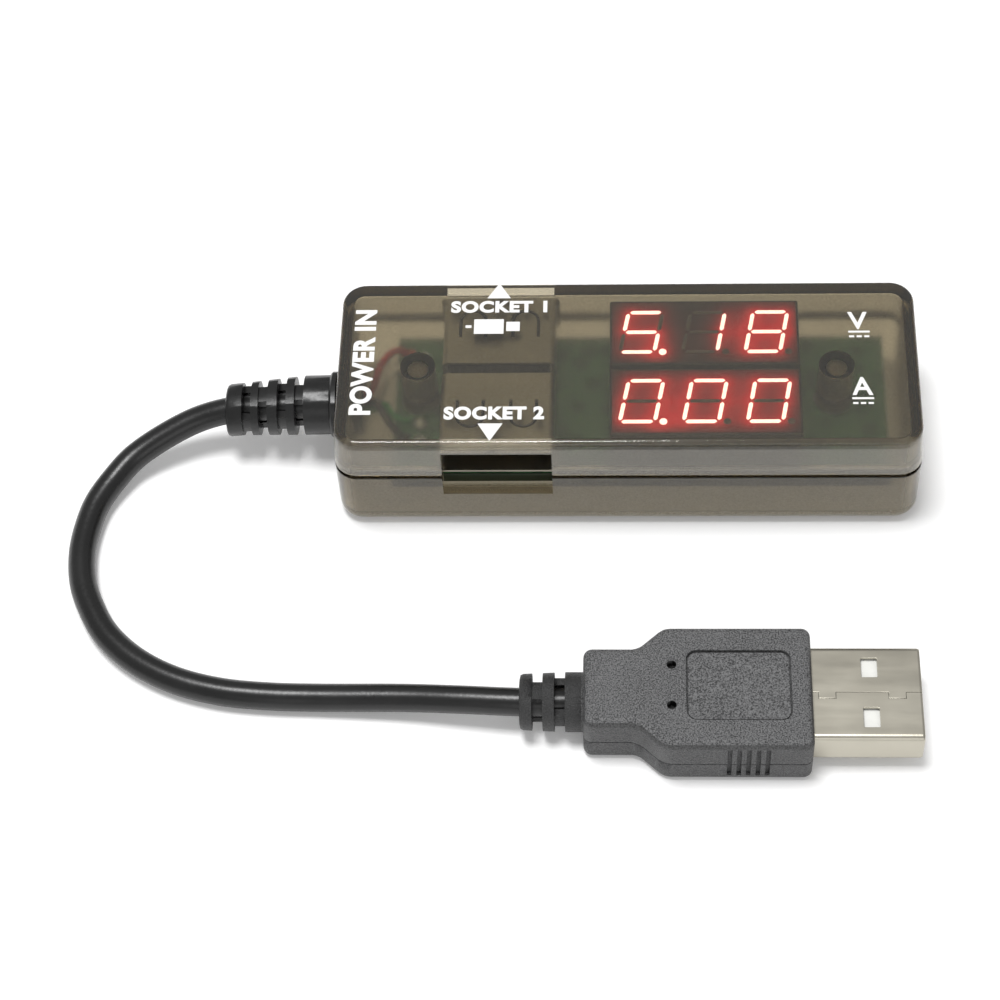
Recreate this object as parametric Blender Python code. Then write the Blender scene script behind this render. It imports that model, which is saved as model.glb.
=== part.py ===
"""A USB power meter: a smoked two-part case with two sockets, two LED displays and a plug on a cable.

The case lies flat on its base, its long side along X and its centre over the origin.
The front socket opens towards -Y and the rear one towards +Y. The cable leaves the
left end, turns round on the table and comes back to the plug in front of the case.
Sizes are in metres.
"""

from math import cos, pi, radians, sin

import bmesh
import bpy
from mathutils import Matrix, Vector

# Case
CASE_LENGTH = 0.0682
CASE_WIDTH = 0.0246
CASE_HEIGHT = 0.0153
SEAM_LOW = 0.0090
SEAM_HIGH = 0.0095
WALL = 0.0015
TOP_WALL = 0.0013
FLOOR = 0.0015
CORNER_RADIUS = 0.0028
TOP_EDGE_RADIUS = 0.0006
BASE_EDGE_RADIUS = 0.0020
DRAFT = 0.0003
LIP_THICKNESS = 0.0006
LIP_HEIGHT = 0.0011
CLEARANCE = 0.0003

# Screw posts on the centre line
POST_XS = (-0.0245, 0.0244)
POST_RADIUS = 0.00205
SHOULDER_RADIUS = 0.0028
SCREW_RADIUS = 0.00095
SCREW_HEAD_RADIUS = 0.0017
SCREW_HEAD_HEIGHT = 0.0013
SCREW_TIP_Z = 0.0125

# Circuit board
BOARD_X = (-0.0275, 0.0305)
BOARD_Y = (-0.0106, 0.0092)
BOARD_TOP = 0.0077
BOARD_THICKNESS = 0.0015

# Sockets
PORT_X = -0.01505
PORT_WIDTH = 0.0128
PORT_Z = (0.0060, 0.0134)
SOCKET_WIDTH = 0.0132
SOCKET_HEIGHT = 0.0056
SOCKET_LENGTH = 0.0098
SOCKET_MOUTH_Y = 0.01055
SHEET = 0.0003
SOCKET_FLARE = 0.00045
TONGUE_THICKNESS = 0.0018
CONTACT_OFFSETS = (-0.0035, -0.0010, 0.0010, 0.0035)
CONTACT_WIDTH = 0.0010
CONTACT_THICKNESS = 0.00025

# Displays
DISPLAY_LENGTH = 0.0222
DISPLAY_WIDTH = 0.0096
DISPLAY_HEIGHT = 0.0058
DISPLAY_X = 0.0091
DISPLAY_YS = (0.0050, -0.0052)
DISPLAY_STANDOFF = 0.0004

# Cable and its relief in the case wall
GLAND_Z = 0.0072
CABLE_HOLE_RADIUS = 0.0033
GLAND_NECK_RADIUS = 0.0030
GLAND_FLANGE_RADIUS = 0.0039
GLAND_COLLAR_RADIUS = 0.00355
GLAND_TIP_RADIUS = 0.00315
GLAND_LENGTH = 0.0137
GLAND_DROOP = 0.0011
CABLE_RADIUS = 0.0016
WIRE_RADIUS = 0.00045

# Plug
PLUG_Y = -0.0393
PLUG_HEIGHT = 0.0076
PLUG_RELIEF_X = -0.0120
PLUG_NECK_X = -0.0049
PLUG_FRONT_X = 0.0204
PLUG_WIDTH = 0.0155
NECK_WIDTH = 0.0100
PLUG_BODY_X = 0.0040
PLUG_TAPER_X = 0.0011
PLUG_EDGE_RADIUS = 0.0010
SHELL_WIDTH = 0.0120
SHELL_HEIGHT = 0.0045
SHELL_REAR_X = 0.0140
SHELL_TIP_X = 0.0325
PLUG_MID_Z = PLUG_HEIGHT / 2

ARC_STEPS = 6


# Materials


def material(name, colour, roughness, metallic=0.0, alpha=1.0):
    """A Principled material, made once and shared."""
    found = bpy.data.materials.get(name)
    if found:
        return found
    made = bpy.data.materials.new(name)
    made.use_nodes = True
    shader = made.node_tree.nodes["Principled BSDF"]
    shader.inputs["Base Color"].default_value = (*colour, 1.0)
    shader.inputs["Roughness"].default_value = roughness
    shader.inputs["Metallic"].default_value = metallic
    shader.inputs["Alpha"].default_value = alpha
    made.diffuse_color = (*colour, alpha)
    return made


def smoked_plastic():
    return material("smoked_plastic", (0.20, 0.18, 0.14), 0.2, alpha=0.6)


def cable_rubber():
    return material("cable_rubber", (0.012, 0.012, 0.013), 0.38)


def plug_plastic():
    return material("plug_plastic", (0.018, 0.018, 0.020), 0.55)


def nickel_sheet():
    return material("nickel_sheet", (0.62, 0.58, 0.50), 0.28, metallic=1.0)


def zinc_steel():
    return material("zinc_steel", (0.48, 0.48, 0.50), 0.35, metallic=1.0)


def gold_contact():
    return material("gold_contact", (0.83, 0.60, 0.25), 0.25, metallic=1.0)


def white_insulator():
    return material("white_insulator", (0.80, 0.80, 0.76), 0.45)


def black_insulator():
    return material("black_insulator", (0.020, 0.020, 0.020), 0.5)


def board_green():
    return material("board_green", (0.03, 0.12, 0.05), 0.4)


def display_black():
    return material("display_black", (0.015, 0.012, 0.012), 0.35)


def chip_epoxy():
    return material("chip_epoxy", (0.02, 0.02, 0.022), 0.6)


def wire_plastic(name, colour):
    return material(name, colour, 0.4)


# Mesh tools


def finish(name, mesh_data, surface, smooth_angle=35):
    """Turn a bmesh into a named object with its material and smooth round faces."""
    bmesh.ops.recalc_face_normals(mesh_data, faces=mesh_data.faces)
    mesh = bpy.data.meshes.new(name)
    mesh_data.to_mesh(mesh)
    mesh_data.free()
    mesh.materials.append(surface)
    mesh.shade_smooth()
    mesh.set_sharp_from_angle(angle=radians(smooth_angle))
    made = bpy.data.objects.new(name, mesh)
    bpy.context.collection.objects.link(made)
    return made


def rounded_outline(half_x, half_y, radius):
    """Points round a rectangle with arc corners, anticlockwise."""
    corners = ((1, 1), (-1, 1), (-1, -1), (1, -1))
    points = []
    for turn, (sign_x, sign_y) in enumerate(corners):
        for step in range(ARC_STEPS + 1):
            angle = pi / 2 * (turn + step / ARC_STEPS)
            x = sign_x * (half_x - radius) + radius * cos(angle)
            y = sign_y * (half_y - radius) + radius * sin(angle)
            points.append((x, y))
    return points


def loft(rings, closed=False):
    """Skin a stack of equal rings; a closed stack joins its last ring to its first."""
    skin = bmesh.new()
    rows = [[skin.verts.new(point) for point in ring] for ring in rings]
    pairs = list(zip(rows, rows[1:]))
    if closed:
        pairs.append((rows[-1], rows[0]))
    for low, high in pairs:
        for here in range(len(low)):
            there = (here + 1) % len(low)
            skin.faces.new((low[here], low[there], high[there], high[here]))
    if not closed:
        skin.faces.new(rows[0])
        skin.faces.new(rows[-1])
    return skin


def case_ring(z, inset, radius):
    """One level of the case's outline, drawn in from the full size by an inset."""
    outline = rounded_outline(CASE_LENGTH / 2 - inset, CASE_WIDTH / 2 - inset, radius)
    return [(x, y, z) for x, y in outline]


def extrude_outline(points, low, high):
    """A prism with the given plan outline."""
    return loft([[(x, y, z) for x, y in points] for z in (low, high)])


def block(name, low, high, surface):
    """A box between two opposite corners."""
    (x0, y0, z0), (x1, y1, z1) = low, high
    outline = ((x0, y0), (x1, y0), (x1, y1), (x0, y1))
    return finish(name, extrude_outline(outline, z0, z1), surface)


def rod(name, radius, low, high, surface, origin, axis="Z", sides=32):
    """A plain cylinder along an axis."""
    angles = [2 * pi * side / sides for side in range(sides)]
    rings = [[(radius * cos(a), radius * sin(a), h) for a in angles] for h in (low, high)]
    solid = loft(rings)
    turns = {"Z": Matrix(), "X": Matrix.Rotation(pi / 2, 4, "Y")}
    bmesh.ops.transform(solid, matrix=Matrix.Translation(origin) @ turns[axis], verts=solid.verts)
    return finish(name, solid, surface)


def combine(target, tools, operation):
    """Cut tools from a target, or join them to it, and hide them as guides."""
    for tool in tools:
        step = target.modifiers.new(tool.name, "BOOLEAN")
        step.operation = operation
        step.solver = "EXACT"
        step.object = tool
        tool.hide_render = True
        tool.display_type = "WIRE"


def cut(target, *tools):
    combine(target, tools, "DIFFERENCE")


def join(target, *tools):
    combine(target, tools, "UNION")


# Case


def case_shell_top():
    """Outer skin of the upper half, drafted, with its small round top edge."""
    rings = [case_ring(SEAM_HIGH, 0.0, CORNER_RADIUS)]
    for step in range(ARC_STEPS + 1):
        angle = pi / 2 * step / ARC_STEPS
        inset = DRAFT + TOP_EDGE_RADIUS * (1 - cos(angle))
        z = CASE_HEIGHT - TOP_EDGE_RADIUS * (1 - sin(angle))
        rings.append(case_ring(z, inset, CORNER_RADIUS - inset + DRAFT))
    return loft(rings)


def case_shell_base():
    """Outer skin of the lower half, with its large round bottom edge."""
    rings = []
    for step in range(ARC_STEPS + 1):
        angle = pi / 2 * step / ARC_STEPS
        inset = BASE_EDGE_RADIUS * (1 - sin(angle))
        z = BASE_EDGE_RADIUS * (1 - cos(angle))
        rings.append(case_ring(z, inset, CORNER_RADIUS - inset))
    rings.append(case_ring(SEAM_LOW, 0.0, CORNER_RADIUS))
    return loft(rings)


def port_cutters(owner):
    """The two socket openings and the round cable hole, as cutters for one half."""
    cutters = []
    for side, label in ((-1, "front"), (1, "rear")):
        ys = sorted((side * (CASE_WIDTH / 2 - WALL - 0.0002), side * (CASE_WIDTH / 2 + 0.002)))
        low = (PORT_X - PORT_WIDTH / 2, ys[0], PORT_Z[0])
        high = (PORT_X + PORT_WIDTH / 2, ys[1], PORT_Z[1])
        cutters.append(block(f"{owner}_{label}_port", low, high, smoked_plastic()))
    hole_centre = (-CASE_LENGTH / 2, 0, GLAND_Z)
    reach = WALL + 0.0005
    hole = rod(f"{owner}_cable_hole", CABLE_HOLE_RADIUS, -reach, reach, smoked_plastic(), hole_centre, "X")
    cutters.append(hole)
    return cutters


def upper_case():
    """The smoked cover: top, upper walls, rebate for the lip and two screw posts."""
    shell = finish("upper_case", case_shell_top(), smoked_plastic())
    inner_top = CASE_HEIGHT - TOP_WALL
    room_rings = [case_ring(z, WALL + DRAFT / 2, CORNER_RADIUS - WALL) for z in (SEAM_LOW, inner_top)]
    room = finish("upper_room", loft(room_rings), smoked_plastic())
    rebate_inset = WALL - LIP_THICKNESS - CLEARANCE
    rebate_top = SEAM_LOW + LIP_HEIGHT + CLEARANCE
    rebate_rings = [case_ring(z, rebate_inset, CORNER_RADIUS - rebate_inset) for z in (SEAM_LOW, rebate_top)]
    rebate = finish("upper_rebate", loft(rebate_rings), smoked_plastic())
    cut(shell, room, rebate, *port_cutters("upper"))
    for number, x in enumerate(POST_XS, 1):
        post = rod(f"upper_post_{number}", POST_RADIUS, SEAM_HIGH, inner_top + 0.0004,
                   smoked_plastic(), (x, 0, 0))
        pilot = rod(f"upper_pilot_{number}", SCREW_RADIUS + CLEARANCE, SEAM_LOW,
                    SCREW_TIP_Z + CLEARANCE, smoked_plastic(), (x, 0, 0))
        join(shell, post)
        cut(shell, pilot)
    return shell


def lower_case():
    """The smoked tray: floor, walls, locating lip, shouldered posts and screw holes."""
    shell = finish("lower_case", case_shell_base(), smoked_plastic())
    room_rings = [case_ring(z, WALL, CORNER_RADIUS - WALL) for z in (FLOOR, SEAM_HIGH)]
    room = finish("lower_room", loft(room_rings), smoked_plastic())
    lip_top = SEAM_LOW + LIP_HEIGHT
    outer_inset = WALL - LIP_THICKNESS
    lip_levels = ((SEAM_LOW - 0.001, outer_inset), (lip_top, outer_inset),
                  (lip_top, WALL), (SEAM_LOW - 0.001, WALL))
    lip_rings = [case_ring(z, inset, CORNER_RADIUS - inset) for z, inset in lip_levels]
    lip = finish("lower_lip", loft(lip_rings, closed=True), smoked_plastic())
    cut(shell, room)
    join(shell, lip)
    cut(shell, *port_cutters("lower"))
    shoulder_top = BOARD_TOP - BOARD_THICKNESS - CLEARANCE
    for number, x in enumerate(POST_XS, 1):
        shoulder = rod(f"lower_shoulder_{number}", SHOULDER_RADIUS, FLOOR - 0.0005, shoulder_top,
                       smoked_plastic(), (x, 0, 0))
        post = rod(f"lower_post_{number}", POST_RADIUS, FLOOR, SEAM_LOW, smoked_plastic(), (x, 0, 0))
        shank_hole = rod(f"lower_shank_hole_{number}", SCREW_RADIUS + CLEARANCE, -0.001,
                         SEAM_HIGH, smoked_plastic(), (x, 0, 0))
        head_hole = rod(f"lower_head_hole_{number}", SCREW_HEAD_RADIUS + CLEARANCE, -0.001,
                        0.0030, smoked_plastic(), (x, 0, 0))
        join(shell, shoulder, post)
        cut(shell, shank_hole, head_hole)
    return shell


def case_screws():
    """Two self-tapping screws, driven from below, with cross recesses."""
    head_low = 0.0014
    for number, x in enumerate(POST_XS, 1):
        head_top = head_low + SCREW_HEAD_HEIGHT
        screw = rod(f"case_screw_{number}", SCREW_HEAD_RADIUS, head_low, head_top,
                    zinc_steel(), (x, 0, 0), sides=24)
        shank = rod(f"screw_shank_{number}", SCREW_RADIUS, head_top - 0.0003, SCREW_TIP_Z,
                    zinc_steel(), (x, 0, 0), sides=16)
        join(screw, shank)
        for turn, (across, along) in enumerate(((0.0011, 0.0002), (0.0002, 0.0011))):
            slot = block(f"screw_slot_{number}_{turn}", (x - across, -along, 0.0),
                         (x + across, along, head_low + 0.0007), zinc_steel())
            cut(screw, slot)


# Circuit board and what is on it


def circuit_board():
    """The fibreglass board, with round holes for the screw posts."""
    low = (BOARD_X[0], BOARD_Y[0], BOARD_TOP - BOARD_THICKNESS)
    high = (BOARD_X[1], BOARD_Y[1], BOARD_TOP)
    board = block("circuit_board", low, high, board_green())
    for number, x in enumerate(POST_XS, 1):
        hole = rod(f"board_hole_{number}", POST_RADIUS + CLEARANCE, BOARD_TOP - 0.003,
                   BOARD_TOP + 0.001, board_green(), (x, 0, 0))
        cut(board, hole)
    return board


def display(name, centre_y):
    """A three-digit LED module: a black housing on two rows of pins."""
    low_z = BOARD_TOP + DISPLAY_STANDOFF
    low = (DISPLAY_X - DISPLAY_LENGTH / 2, centre_y - DISPLAY_WIDTH / 2, low_z)
    high = (DISPLAY_X + DISPLAY_LENGTH / 2, centre_y + DISPLAY_WIDTH / 2, low_z + DISPLAY_HEIGHT)
    housing = block(name, low, high, display_black())
    well = block(f"{name}_well", (low[0] + 0.0012, low[1] + 0.0022, low_z - 0.001),
                 (high[0] - 0.0012, high[1] - 0.0022, low_z + 0.0012), display_black())
    cut(housing, well)
    return housing


def board_component(name, centre, size, surface=None):
    """A part soldered under the board, hanging just below it."""
    top = BOARD_TOP - BOARD_THICKNESS - CLEARANCE
    x, y = centre
    length, width, height = size
    low = (x - length / 2, y - width / 2, top - height)
    high = (x + length / 2, y + width / 2, top)
    return block(name, low, high, surface or chip_epoxy())


def board_components():
    """The measuring chip, its regulator, the current shunt and two capacitors."""
    board_component("meter_chip", (0.0080, 0.0), (0.0100, 0.0060, 0.0018))
    board_component("regulator", (0.0180, 0.0040), (0.0030, 0.0030, 0.0012))
    board_component("shunt_resistor", (-0.0050, 0.0), (0.0032, 0.0064, 0.0006), zinc_steel())
    tan = material("capacitor_ceramic", (0.42, 0.30, 0.18), 0.5)
    for number, y in enumerate((-0.0030, -0.0055), 1):
        board_component(f"capacitor_{number}", (0.0180, y), (0.0020, 0.00125, 0.0009), tan)


# Sockets: one builder, used facing each way


def socket_shell(name, mouth_y, outward):
    """A folded sheet tube with flared sides and two spring fingers in its roof."""
    middle_z = BOARD_TOP + CLEARANCE + SOCKET_HEIGHT / 2
    back = mouth_y - outward * SOCKET_LENGTH
    bend = mouth_y - outward * 0.0009

    def ring(y, spread, inset):
        half_x = SOCKET_WIDTH / 2 + spread - inset
        half_z = SOCKET_HEIGHT / 2 - inset
        outline = rounded_outline(half_x, half_z, 0.0007 - inset * 0.8)
        return [(PORT_X + x, y, middle_z + z) for x, z in outline]

    levels = ((back, 0, 0), (bend, 0, 0), (mouth_y, SOCKET_FLARE, 0),
              (mouth_y, SOCKET_FLARE, SHEET), (bend, 0, SHEET), (back, 0, SHEET))
    shell = finish(name, loft([ring(*level) for level in levels], closed=True), nickel_sheet())
    roof_z = middle_z + SOCKET_HEIGHT / 2
    for number, offset in enumerate((-0.0031, 0.0031), 1):
        tip_y = mouth_y - outward * 0.0018
        points = finger_outline(PORT_X + offset, tip_y, outward)
        slot = finish(f"{name}_finger_{number}", extrude_outline(points, roof_z - 0.0005, roof_z + 0.0005),
                      nickel_sheet())
        cut(shell, slot)
    return shell


def finger_outline(x, tip_y, outward):
    """The narrow U that frees one spring finger, its round end towards the mouth."""
    outer, inner, reach = 0.0017, 0.0013, 0.0041
    centre_y = tip_y - outward * outer
    root_y = tip_y - outward * reach
    angles = [pi * step / 12 for step in range(13)]
    far = [(x + outer * cos(a), centre_y + outward * outer * sin(a)) for a in angles]
    near = [(x + inner * cos(a), centre_y + outward * inner * sin(a)) for a in reversed(angles)]
    return [(x + outer, root_y), *far, (x - outer, root_y), (x - inner, root_y), *near, (x + inner, root_y)]


def socket_insulator(name, mouth_y, outward):
    """The tongue and the comb-shaped block that it grows from."""
    top_z = BOARD_TOP + CLEARANCE + SOCKET_HEIGHT - SHEET - CLEARANCE
    tongue_top = top_z - 0.0003
    tongue_low = tongue_top - TONGUE_THICKNESS
    back_y = mouth_y - outward * (SOCKET_LENGTH - 0.0003)
    block_y = back_y + outward * 0.0022
    tip_y = mouth_y - outward * 0.0008
    half = SOCKET_WIDTH / 2 - SHEET - CLEARANCE
    ys = sorted((back_y, block_y))
    low_z = BOARD_TOP + CLEARANCE + SHEET + CLEARANCE
    body = block(name, (PORT_X - half, ys[0], low_z), (PORT_X + half, ys[1], top_z), black_insulator())
    ys = sorted((block_y - outward * 0.0005, tip_y))
    tongue = block(f"{name}_tongue", (PORT_X - 0.0056, ys[0], tongue_low),
                   (PORT_X + 0.0056, ys[1], tongue_top), black_insulator())
    join(body, tongue)
    ys = sorted((back_y - outward * 0.001, block_y + outward * 0.001))
    for number, offset in enumerate(CONTACT_OFFSETS, 1):
        reach = CONTACT_WIDTH / 2 + CLEARANCE
        slot = block(f"{name}_slot_{number}", (PORT_X + offset - reach, ys[0], low_z - 0.001),
                     (PORT_X + offset + reach, ys[1], tongue_low), black_insulator())
        cut(body, slot)
    return body


def socket_contacts(prefix, mouth_y, outward):
    """Four sprung strips under the tongue, each bent down to the board at its tail."""
    tongue_low = BOARD_TOP + SOCKET_HEIGHT - SHEET - CLEARANCE - TONGUE_THICKNESS
    top_z = tongue_low - CLEARANCE
    tail_z = BOARD_TOP + CLEARANCE + SHEET + CLEARANCE
    front_y = mouth_y - outward * 0.0016
    tail_y = mouth_y - outward * (SOCKET_LENGTH - 0.0008)
    thick = CONTACT_THICKNESS
    for number, offset in enumerate(CONTACT_OFFSETS, 1):
        side = [(front_y, top_z), (tail_y, top_z), (tail_y, tail_z),
                (tail_y + outward * thick, tail_z), (tail_y + outward * thick, top_z - thick),
                (front_y - outward * 0.0012, top_z - thick), (front_y, top_z - thick + 0.0001)]
        centre = PORT_X + offset
        rings = [[(centre + across, y, z) for y, z in side]
                 for across in (-CONTACT_WIDTH / 2, CONTACT_WIDTH / 2)]
        finish(f"{prefix}_contact_{number}", loft(rings), gold_contact())


def socket(prefix, mouth_y, outward):
    """One complete socket."""
    socket_shell(f"{prefix}_socket_shell", mouth_y, outward)
    socket_insulator(f"{prefix}_socket_insulator", mouth_y, outward)
    socket_contacts(f"{prefix}_socket", mouth_y, outward)


# Cable, relief and wires


def tube(name, route, radius, surface, points, sides_level=2):
    """A round tube along a smooth curve through the route's points."""
    curve = bpy.data.curves.new(name, "CURVE")
    curve.dimensions = "3D"
    curve.bevel_depth = radius
    curve.bevel_resolution = sides_level
    curve.use_fill_caps = True
    spline = curve.splines.new("POLY")
    places = smooth_points(route, points)
    spline.points.add(len(places) - 1)
    for point, place in zip(spline.points, places):
        point.co = (*place, 1.0)
    curve.materials.append(surface)
    made = bpy.data.objects.new(name, curve)
    bpy.context.collection.objects.link(made)
    return made


def smooth_points(route, count):
    """Evenly spread points on a centripetal curve that passes through the route."""
    knots = [Vector(place) for place in route]
    knots.insert(0, knots[0] * 2 - knots[1])
    knots.append(knots[-1] * 2 - knots[-2])
    fine = []
    for a, b, c, d in zip(knots, knots[1:], knots[2:], knots[3:]):
        t1 = (b - a).length ** 0.5
        t2 = t1 + (c - b).length ** 0.5
        t3 = t2 + (d - c).length ** 0.5
        for step in range(24):
            t = t1 + (t2 - t1) * step / 24
            ab = a * ((t1 - t) / t1) + b * (t / t1)
            bc = b * ((t2 - t) / (t2 - t1)) + c * ((t - t1) / (t2 - t1))
            cd = c * ((t3 - t) / (t3 - t2)) + d * ((t - t2) / (t3 - t2))
            abc = ab * ((t2 - t) / t2) + bc * (t / t2)
            bcd = bc * ((t3 - t) / (t3 - t1)) + cd * ((t - t1) / (t3 - t1))
            fine.append(abc * ((t2 - t) / (t2 - t1)) + bcd * ((t - t1) / (t2 - t1)))
    fine.append(knots[-2])
    return spread(fine, count)


def spread(line, count):
    """Resample a line of points at equal steps along its length."""
    lengths = [0.0]
    for here, there in zip(line, line[1:]):
        lengths.append(lengths[-1] + (there - here).length)
    places = []
    index = 0
    for number in range(count):
        target = lengths[-1] * number / (count - 1)
        while index < len(line) - 2 and lengths[index + 1] < target:
            index += 1
        span = lengths[index + 1] - lengths[index]
        places.append(line[index].lerp(line[index + 1], (target - lengths[index]) / span))
    return places


def relief_windows(prefix, turned, width, centre, surface):
    """Two windows facing each other in a ribbed relief, with a bridge left on each side."""
    reach, bridge = 0.0048, 0.0011
    axis = 1 + turned
    cutters = []
    for side in (-1, 1):
        low = Vector((-width / 2, -reach, -reach))
        high = -low
        low[axis], high[axis] = sorted((side * bridge, side * reach))
        middle = Vector(centre)
        cutters.append(block(f"{prefix}_window_{side}", low + middle, high + middle, surface))
    return cutters


def cable_gland():
    """The rubber relief in the left wall: a groove for the wall, a flange and open ribs."""
    wall_x = -CASE_LENGTH / 2
    inside = wall_x + WALL + CLEARANCE
    end_x = wall_x - GLAND_LENGTH
    bore = CABLE_RADIUS + CLEARANCE
    flange = 0.0011
    profile = [(bore, inside + flange), (GLAND_FLANGE_RADIUS, inside + flange),
               (GLAND_FLANGE_RADIUS, inside), (GLAND_NECK_RADIUS, inside),
               (GLAND_NECK_RADIUS, wall_x - CLEARANCE),
               (GLAND_FLANGE_RADIUS, wall_x - CLEARANCE), (GLAND_FLANGE_RADIUS, wall_x - flange),
               (GLAND_COLLAR_RADIUS, wall_x - flange - 0.0001), (GLAND_COLLAR_RADIUS, wall_x - 0.0042),
               (GLAND_TIP_RADIUS, wall_x - 0.0117), (GLAND_TIP_RADIUS, end_x + 0.0003),
               (GLAND_TIP_RADIUS - 0.0003, end_x), (bore, end_x), (bore, end_x + 0.0025),
               (bore, end_x + 0.0050), (bore, end_x + 0.0085), (bore, wall_x)]
    rings = []
    for radius, x in profile:
        angles = [2 * pi * side / 32 for side in range(32)]
        rings.append([(x, radius * cos(a), gland_axis_z(x) + radius * sin(a)) for a in angles])
    gland = finish("cable_gland", loft(rings, closed=True), cable_rubber())
    for number, offset in enumerate((0.0048, 0.0069, 0.0092, 0.0112)):
        x = wall_x - offset
        centre = (x, 0, gland_axis_z(x))
        cut(gland, *relief_windows(f"gland_{number}", number % 2, 0.0011, centre, cable_rubber()))
    return gland


def gland_axis_z(x):
    """Height of the gland's axis, which sags a little away from the wall."""
    away = max(0.0, -CASE_LENGTH / 2 - x) / GLAND_LENGTH
    return GLAND_Z - GLAND_DROOP * away ** 2


def cable():
    """The round cable, from inside the case, round on the table, to the plug."""
    gland_end = -CASE_LENGTH / 2 - GLAND_LENGTH
    route = [(-0.0318, 0.0, GLAND_Z), (-0.0400, 0.0, gland_axis_z(-0.0400)),
             (-0.0445, 0.0, gland_axis_z(-0.0445)), (gland_end, 0.0, gland_axis_z(gland_end)),
             (-0.0524, -0.0009, 0.0050),
             (-0.0589, -0.0043, 0.0030), (-0.0614, -0.0072, 0.0022),
             (-0.0632, -0.0105, 0.0018), (-0.0640, -0.0139, CABLE_RADIUS), (-0.0643, -0.0177, CABLE_RADIUS),
             (-0.0636, -0.0220, CABLE_RADIUS), (-0.0622, -0.0255, CABLE_RADIUS),
             (-0.0604, -0.0286, CABLE_RADIUS), (-0.0580, -0.0312, CABLE_RADIUS),
             (-0.0552, -0.0333, CABLE_RADIUS), (-0.0512, -0.0353, CABLE_RADIUS),
             (-0.0461, -0.0367, CABLE_RADIUS), (-0.0405, -0.0373, CABLE_RADIUS),
             (-0.0352, -0.0375, 0.0017), (-0.0251, -0.0380, 0.0025), (-0.0185, -0.0387, 0.0033),
             (PLUG_RELIEF_X, PLUG_Y, PLUG_MID_Z), (PLUG_NECK_X, PLUG_Y, PLUG_MID_Z)]
    return tube("cable", route, CABLE_RADIUS, cable_rubber(), 70)


def inner_wires():
    """The four insulated cores, fanned out from the cable to the board's left edge."""
    cores = (("wire_red", (0.55, 0.02, 0.02), 0.0062, 0.0007, 0.0020, 0.0),
             ("wire_white", (0.75, 0.75, 0.72), 0.0038, -0.0007, 0.0006, 0.0007),
             ("wire_green", (0.03, 0.30, 0.06), -0.0038, -0.0007, 0.0006, 0.0007),
             ("wire_black", (0.01, 0.01, 0.01), -0.0062, 0.0007, 0.0020, 0.0))
    landing = BOARD_TOP + WIRE_RADIUS + CLEARANCE
    for name, colour, pad_y, start_z, lift, lag in cores:
        start_y = 0.0007 if pad_y > 0 else -0.0007
        route = [(-0.0314, start_y, GLAND_Z + start_z), (-0.0306 + lag, start_y, GLAND_Z + start_z),
                 (-0.0292 + lag, pad_y * 0.5, landing + lift), (-0.0276, pad_y * 0.9, landing + lift * 0.7),
                 (-0.0262, pad_y, landing), (-0.0254, pad_y, landing)]
        tube(name, route, WIRE_RADIUS, wire_plastic(name, colour), 14)


# Plug


def plug_overmould():
    """The moulded grip: body, tapered neck, ribbed relief, recessed panel and side grooves."""
    half_body, half_neck = PLUG_WIDTH / 2, NECK_WIDTH / 2
    upper = [(PLUG_FRONT_X, half_body), (PLUG_BODY_X, half_body),
             (PLUG_TAPER_X, half_neck), (PLUG_NECK_X, half_neck)]
    outline = [(x, PLUG_Y + y) for x, y in upper + [(x, -y) for x, y in reversed(upper)]]
    body = finish("plug_overmould", extrude_outline(outline, 0.0, PLUG_HEIGHT), plug_plastic())
    rounding = body.modifiers.new("rounding", "BEVEL")
    rounding.width = PLUG_EDGE_RADIUS
    rounding.segments = 3
    rounding.limit_method = "ANGLE"
    rounding.angle_limit = radians(30)
    relief_profile = ((0.00285, PLUG_RELIEF_X), (0.00315, PLUG_RELIEF_X + 0.0003),
                      (0.00335, PLUG_NECK_X - 0.0020), (0.00335, PLUG_NECK_X + 0.0010))
    rings = []
    for radius, x in relief_profile:
        angles = [2 * pi * side / 32 for side in range(32)]
        rings.append([(x, PLUG_Y + radius * cos(a), PLUG_MID_Z + radius * sin(a)) for a in angles])
    relief = finish("plug_relief", loft(rings), plug_plastic())
    join(body, relief)
    bore = rod("plug_bore", CABLE_RADIUS + CLEARANCE, PLUG_RELIEF_X - 0.001, PLUG_NECK_X + 0.0005,
               plug_plastic(), (0, PLUG_Y, PLUG_MID_Z), "X")
    room_y = SHELL_WIDTH / 2 + CLEARANCE
    room_z = SHELL_HEIGHT / 2 + CLEARANCE
    room = block("plug_room", (PLUG_BODY_X, PLUG_Y - room_y, PLUG_MID_Z - room_z),
                 (PLUG_FRONT_X + 0.001, PLUG_Y + room_y, PLUG_MID_Z + room_z), plug_plastic())
    passage = rod("plug_passage", CABLE_RADIUS, PLUG_NECK_X, 0.0045, plug_plastic(),
                  (0, PLUG_Y, PLUG_MID_Z), "X", sides=16)
    windows = []
    for number, offset in enumerate((0.0020, 0.0045)):
        centre = (PLUG_RELIEF_X + offset, PLUG_Y, PLUG_MID_Z)
        windows += relief_windows(f"plug_{number}", number % 2, 0.0012, centre, plug_plastic())
    cut(body, bore, room, passage, *windows, plug_panel(), *plug_blind_holes(), *plug_grooves())
    return body


def plug_panel():
    """The shallow rounded panel in the top of the grip."""
    centre_x, half_x, half_y = 0.0123, 0.0058, 0.0045
    outline = [(centre_x + x, PLUG_Y + y) for x, y in rounded_outline(half_x, half_y, 0.0012)]
    panel = extrude_outline(outline, PLUG_HEIGHT - 0.0002, PLUG_HEIGHT + 0.001)
    return finish("plug_panel", panel, plug_plastic())


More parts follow.
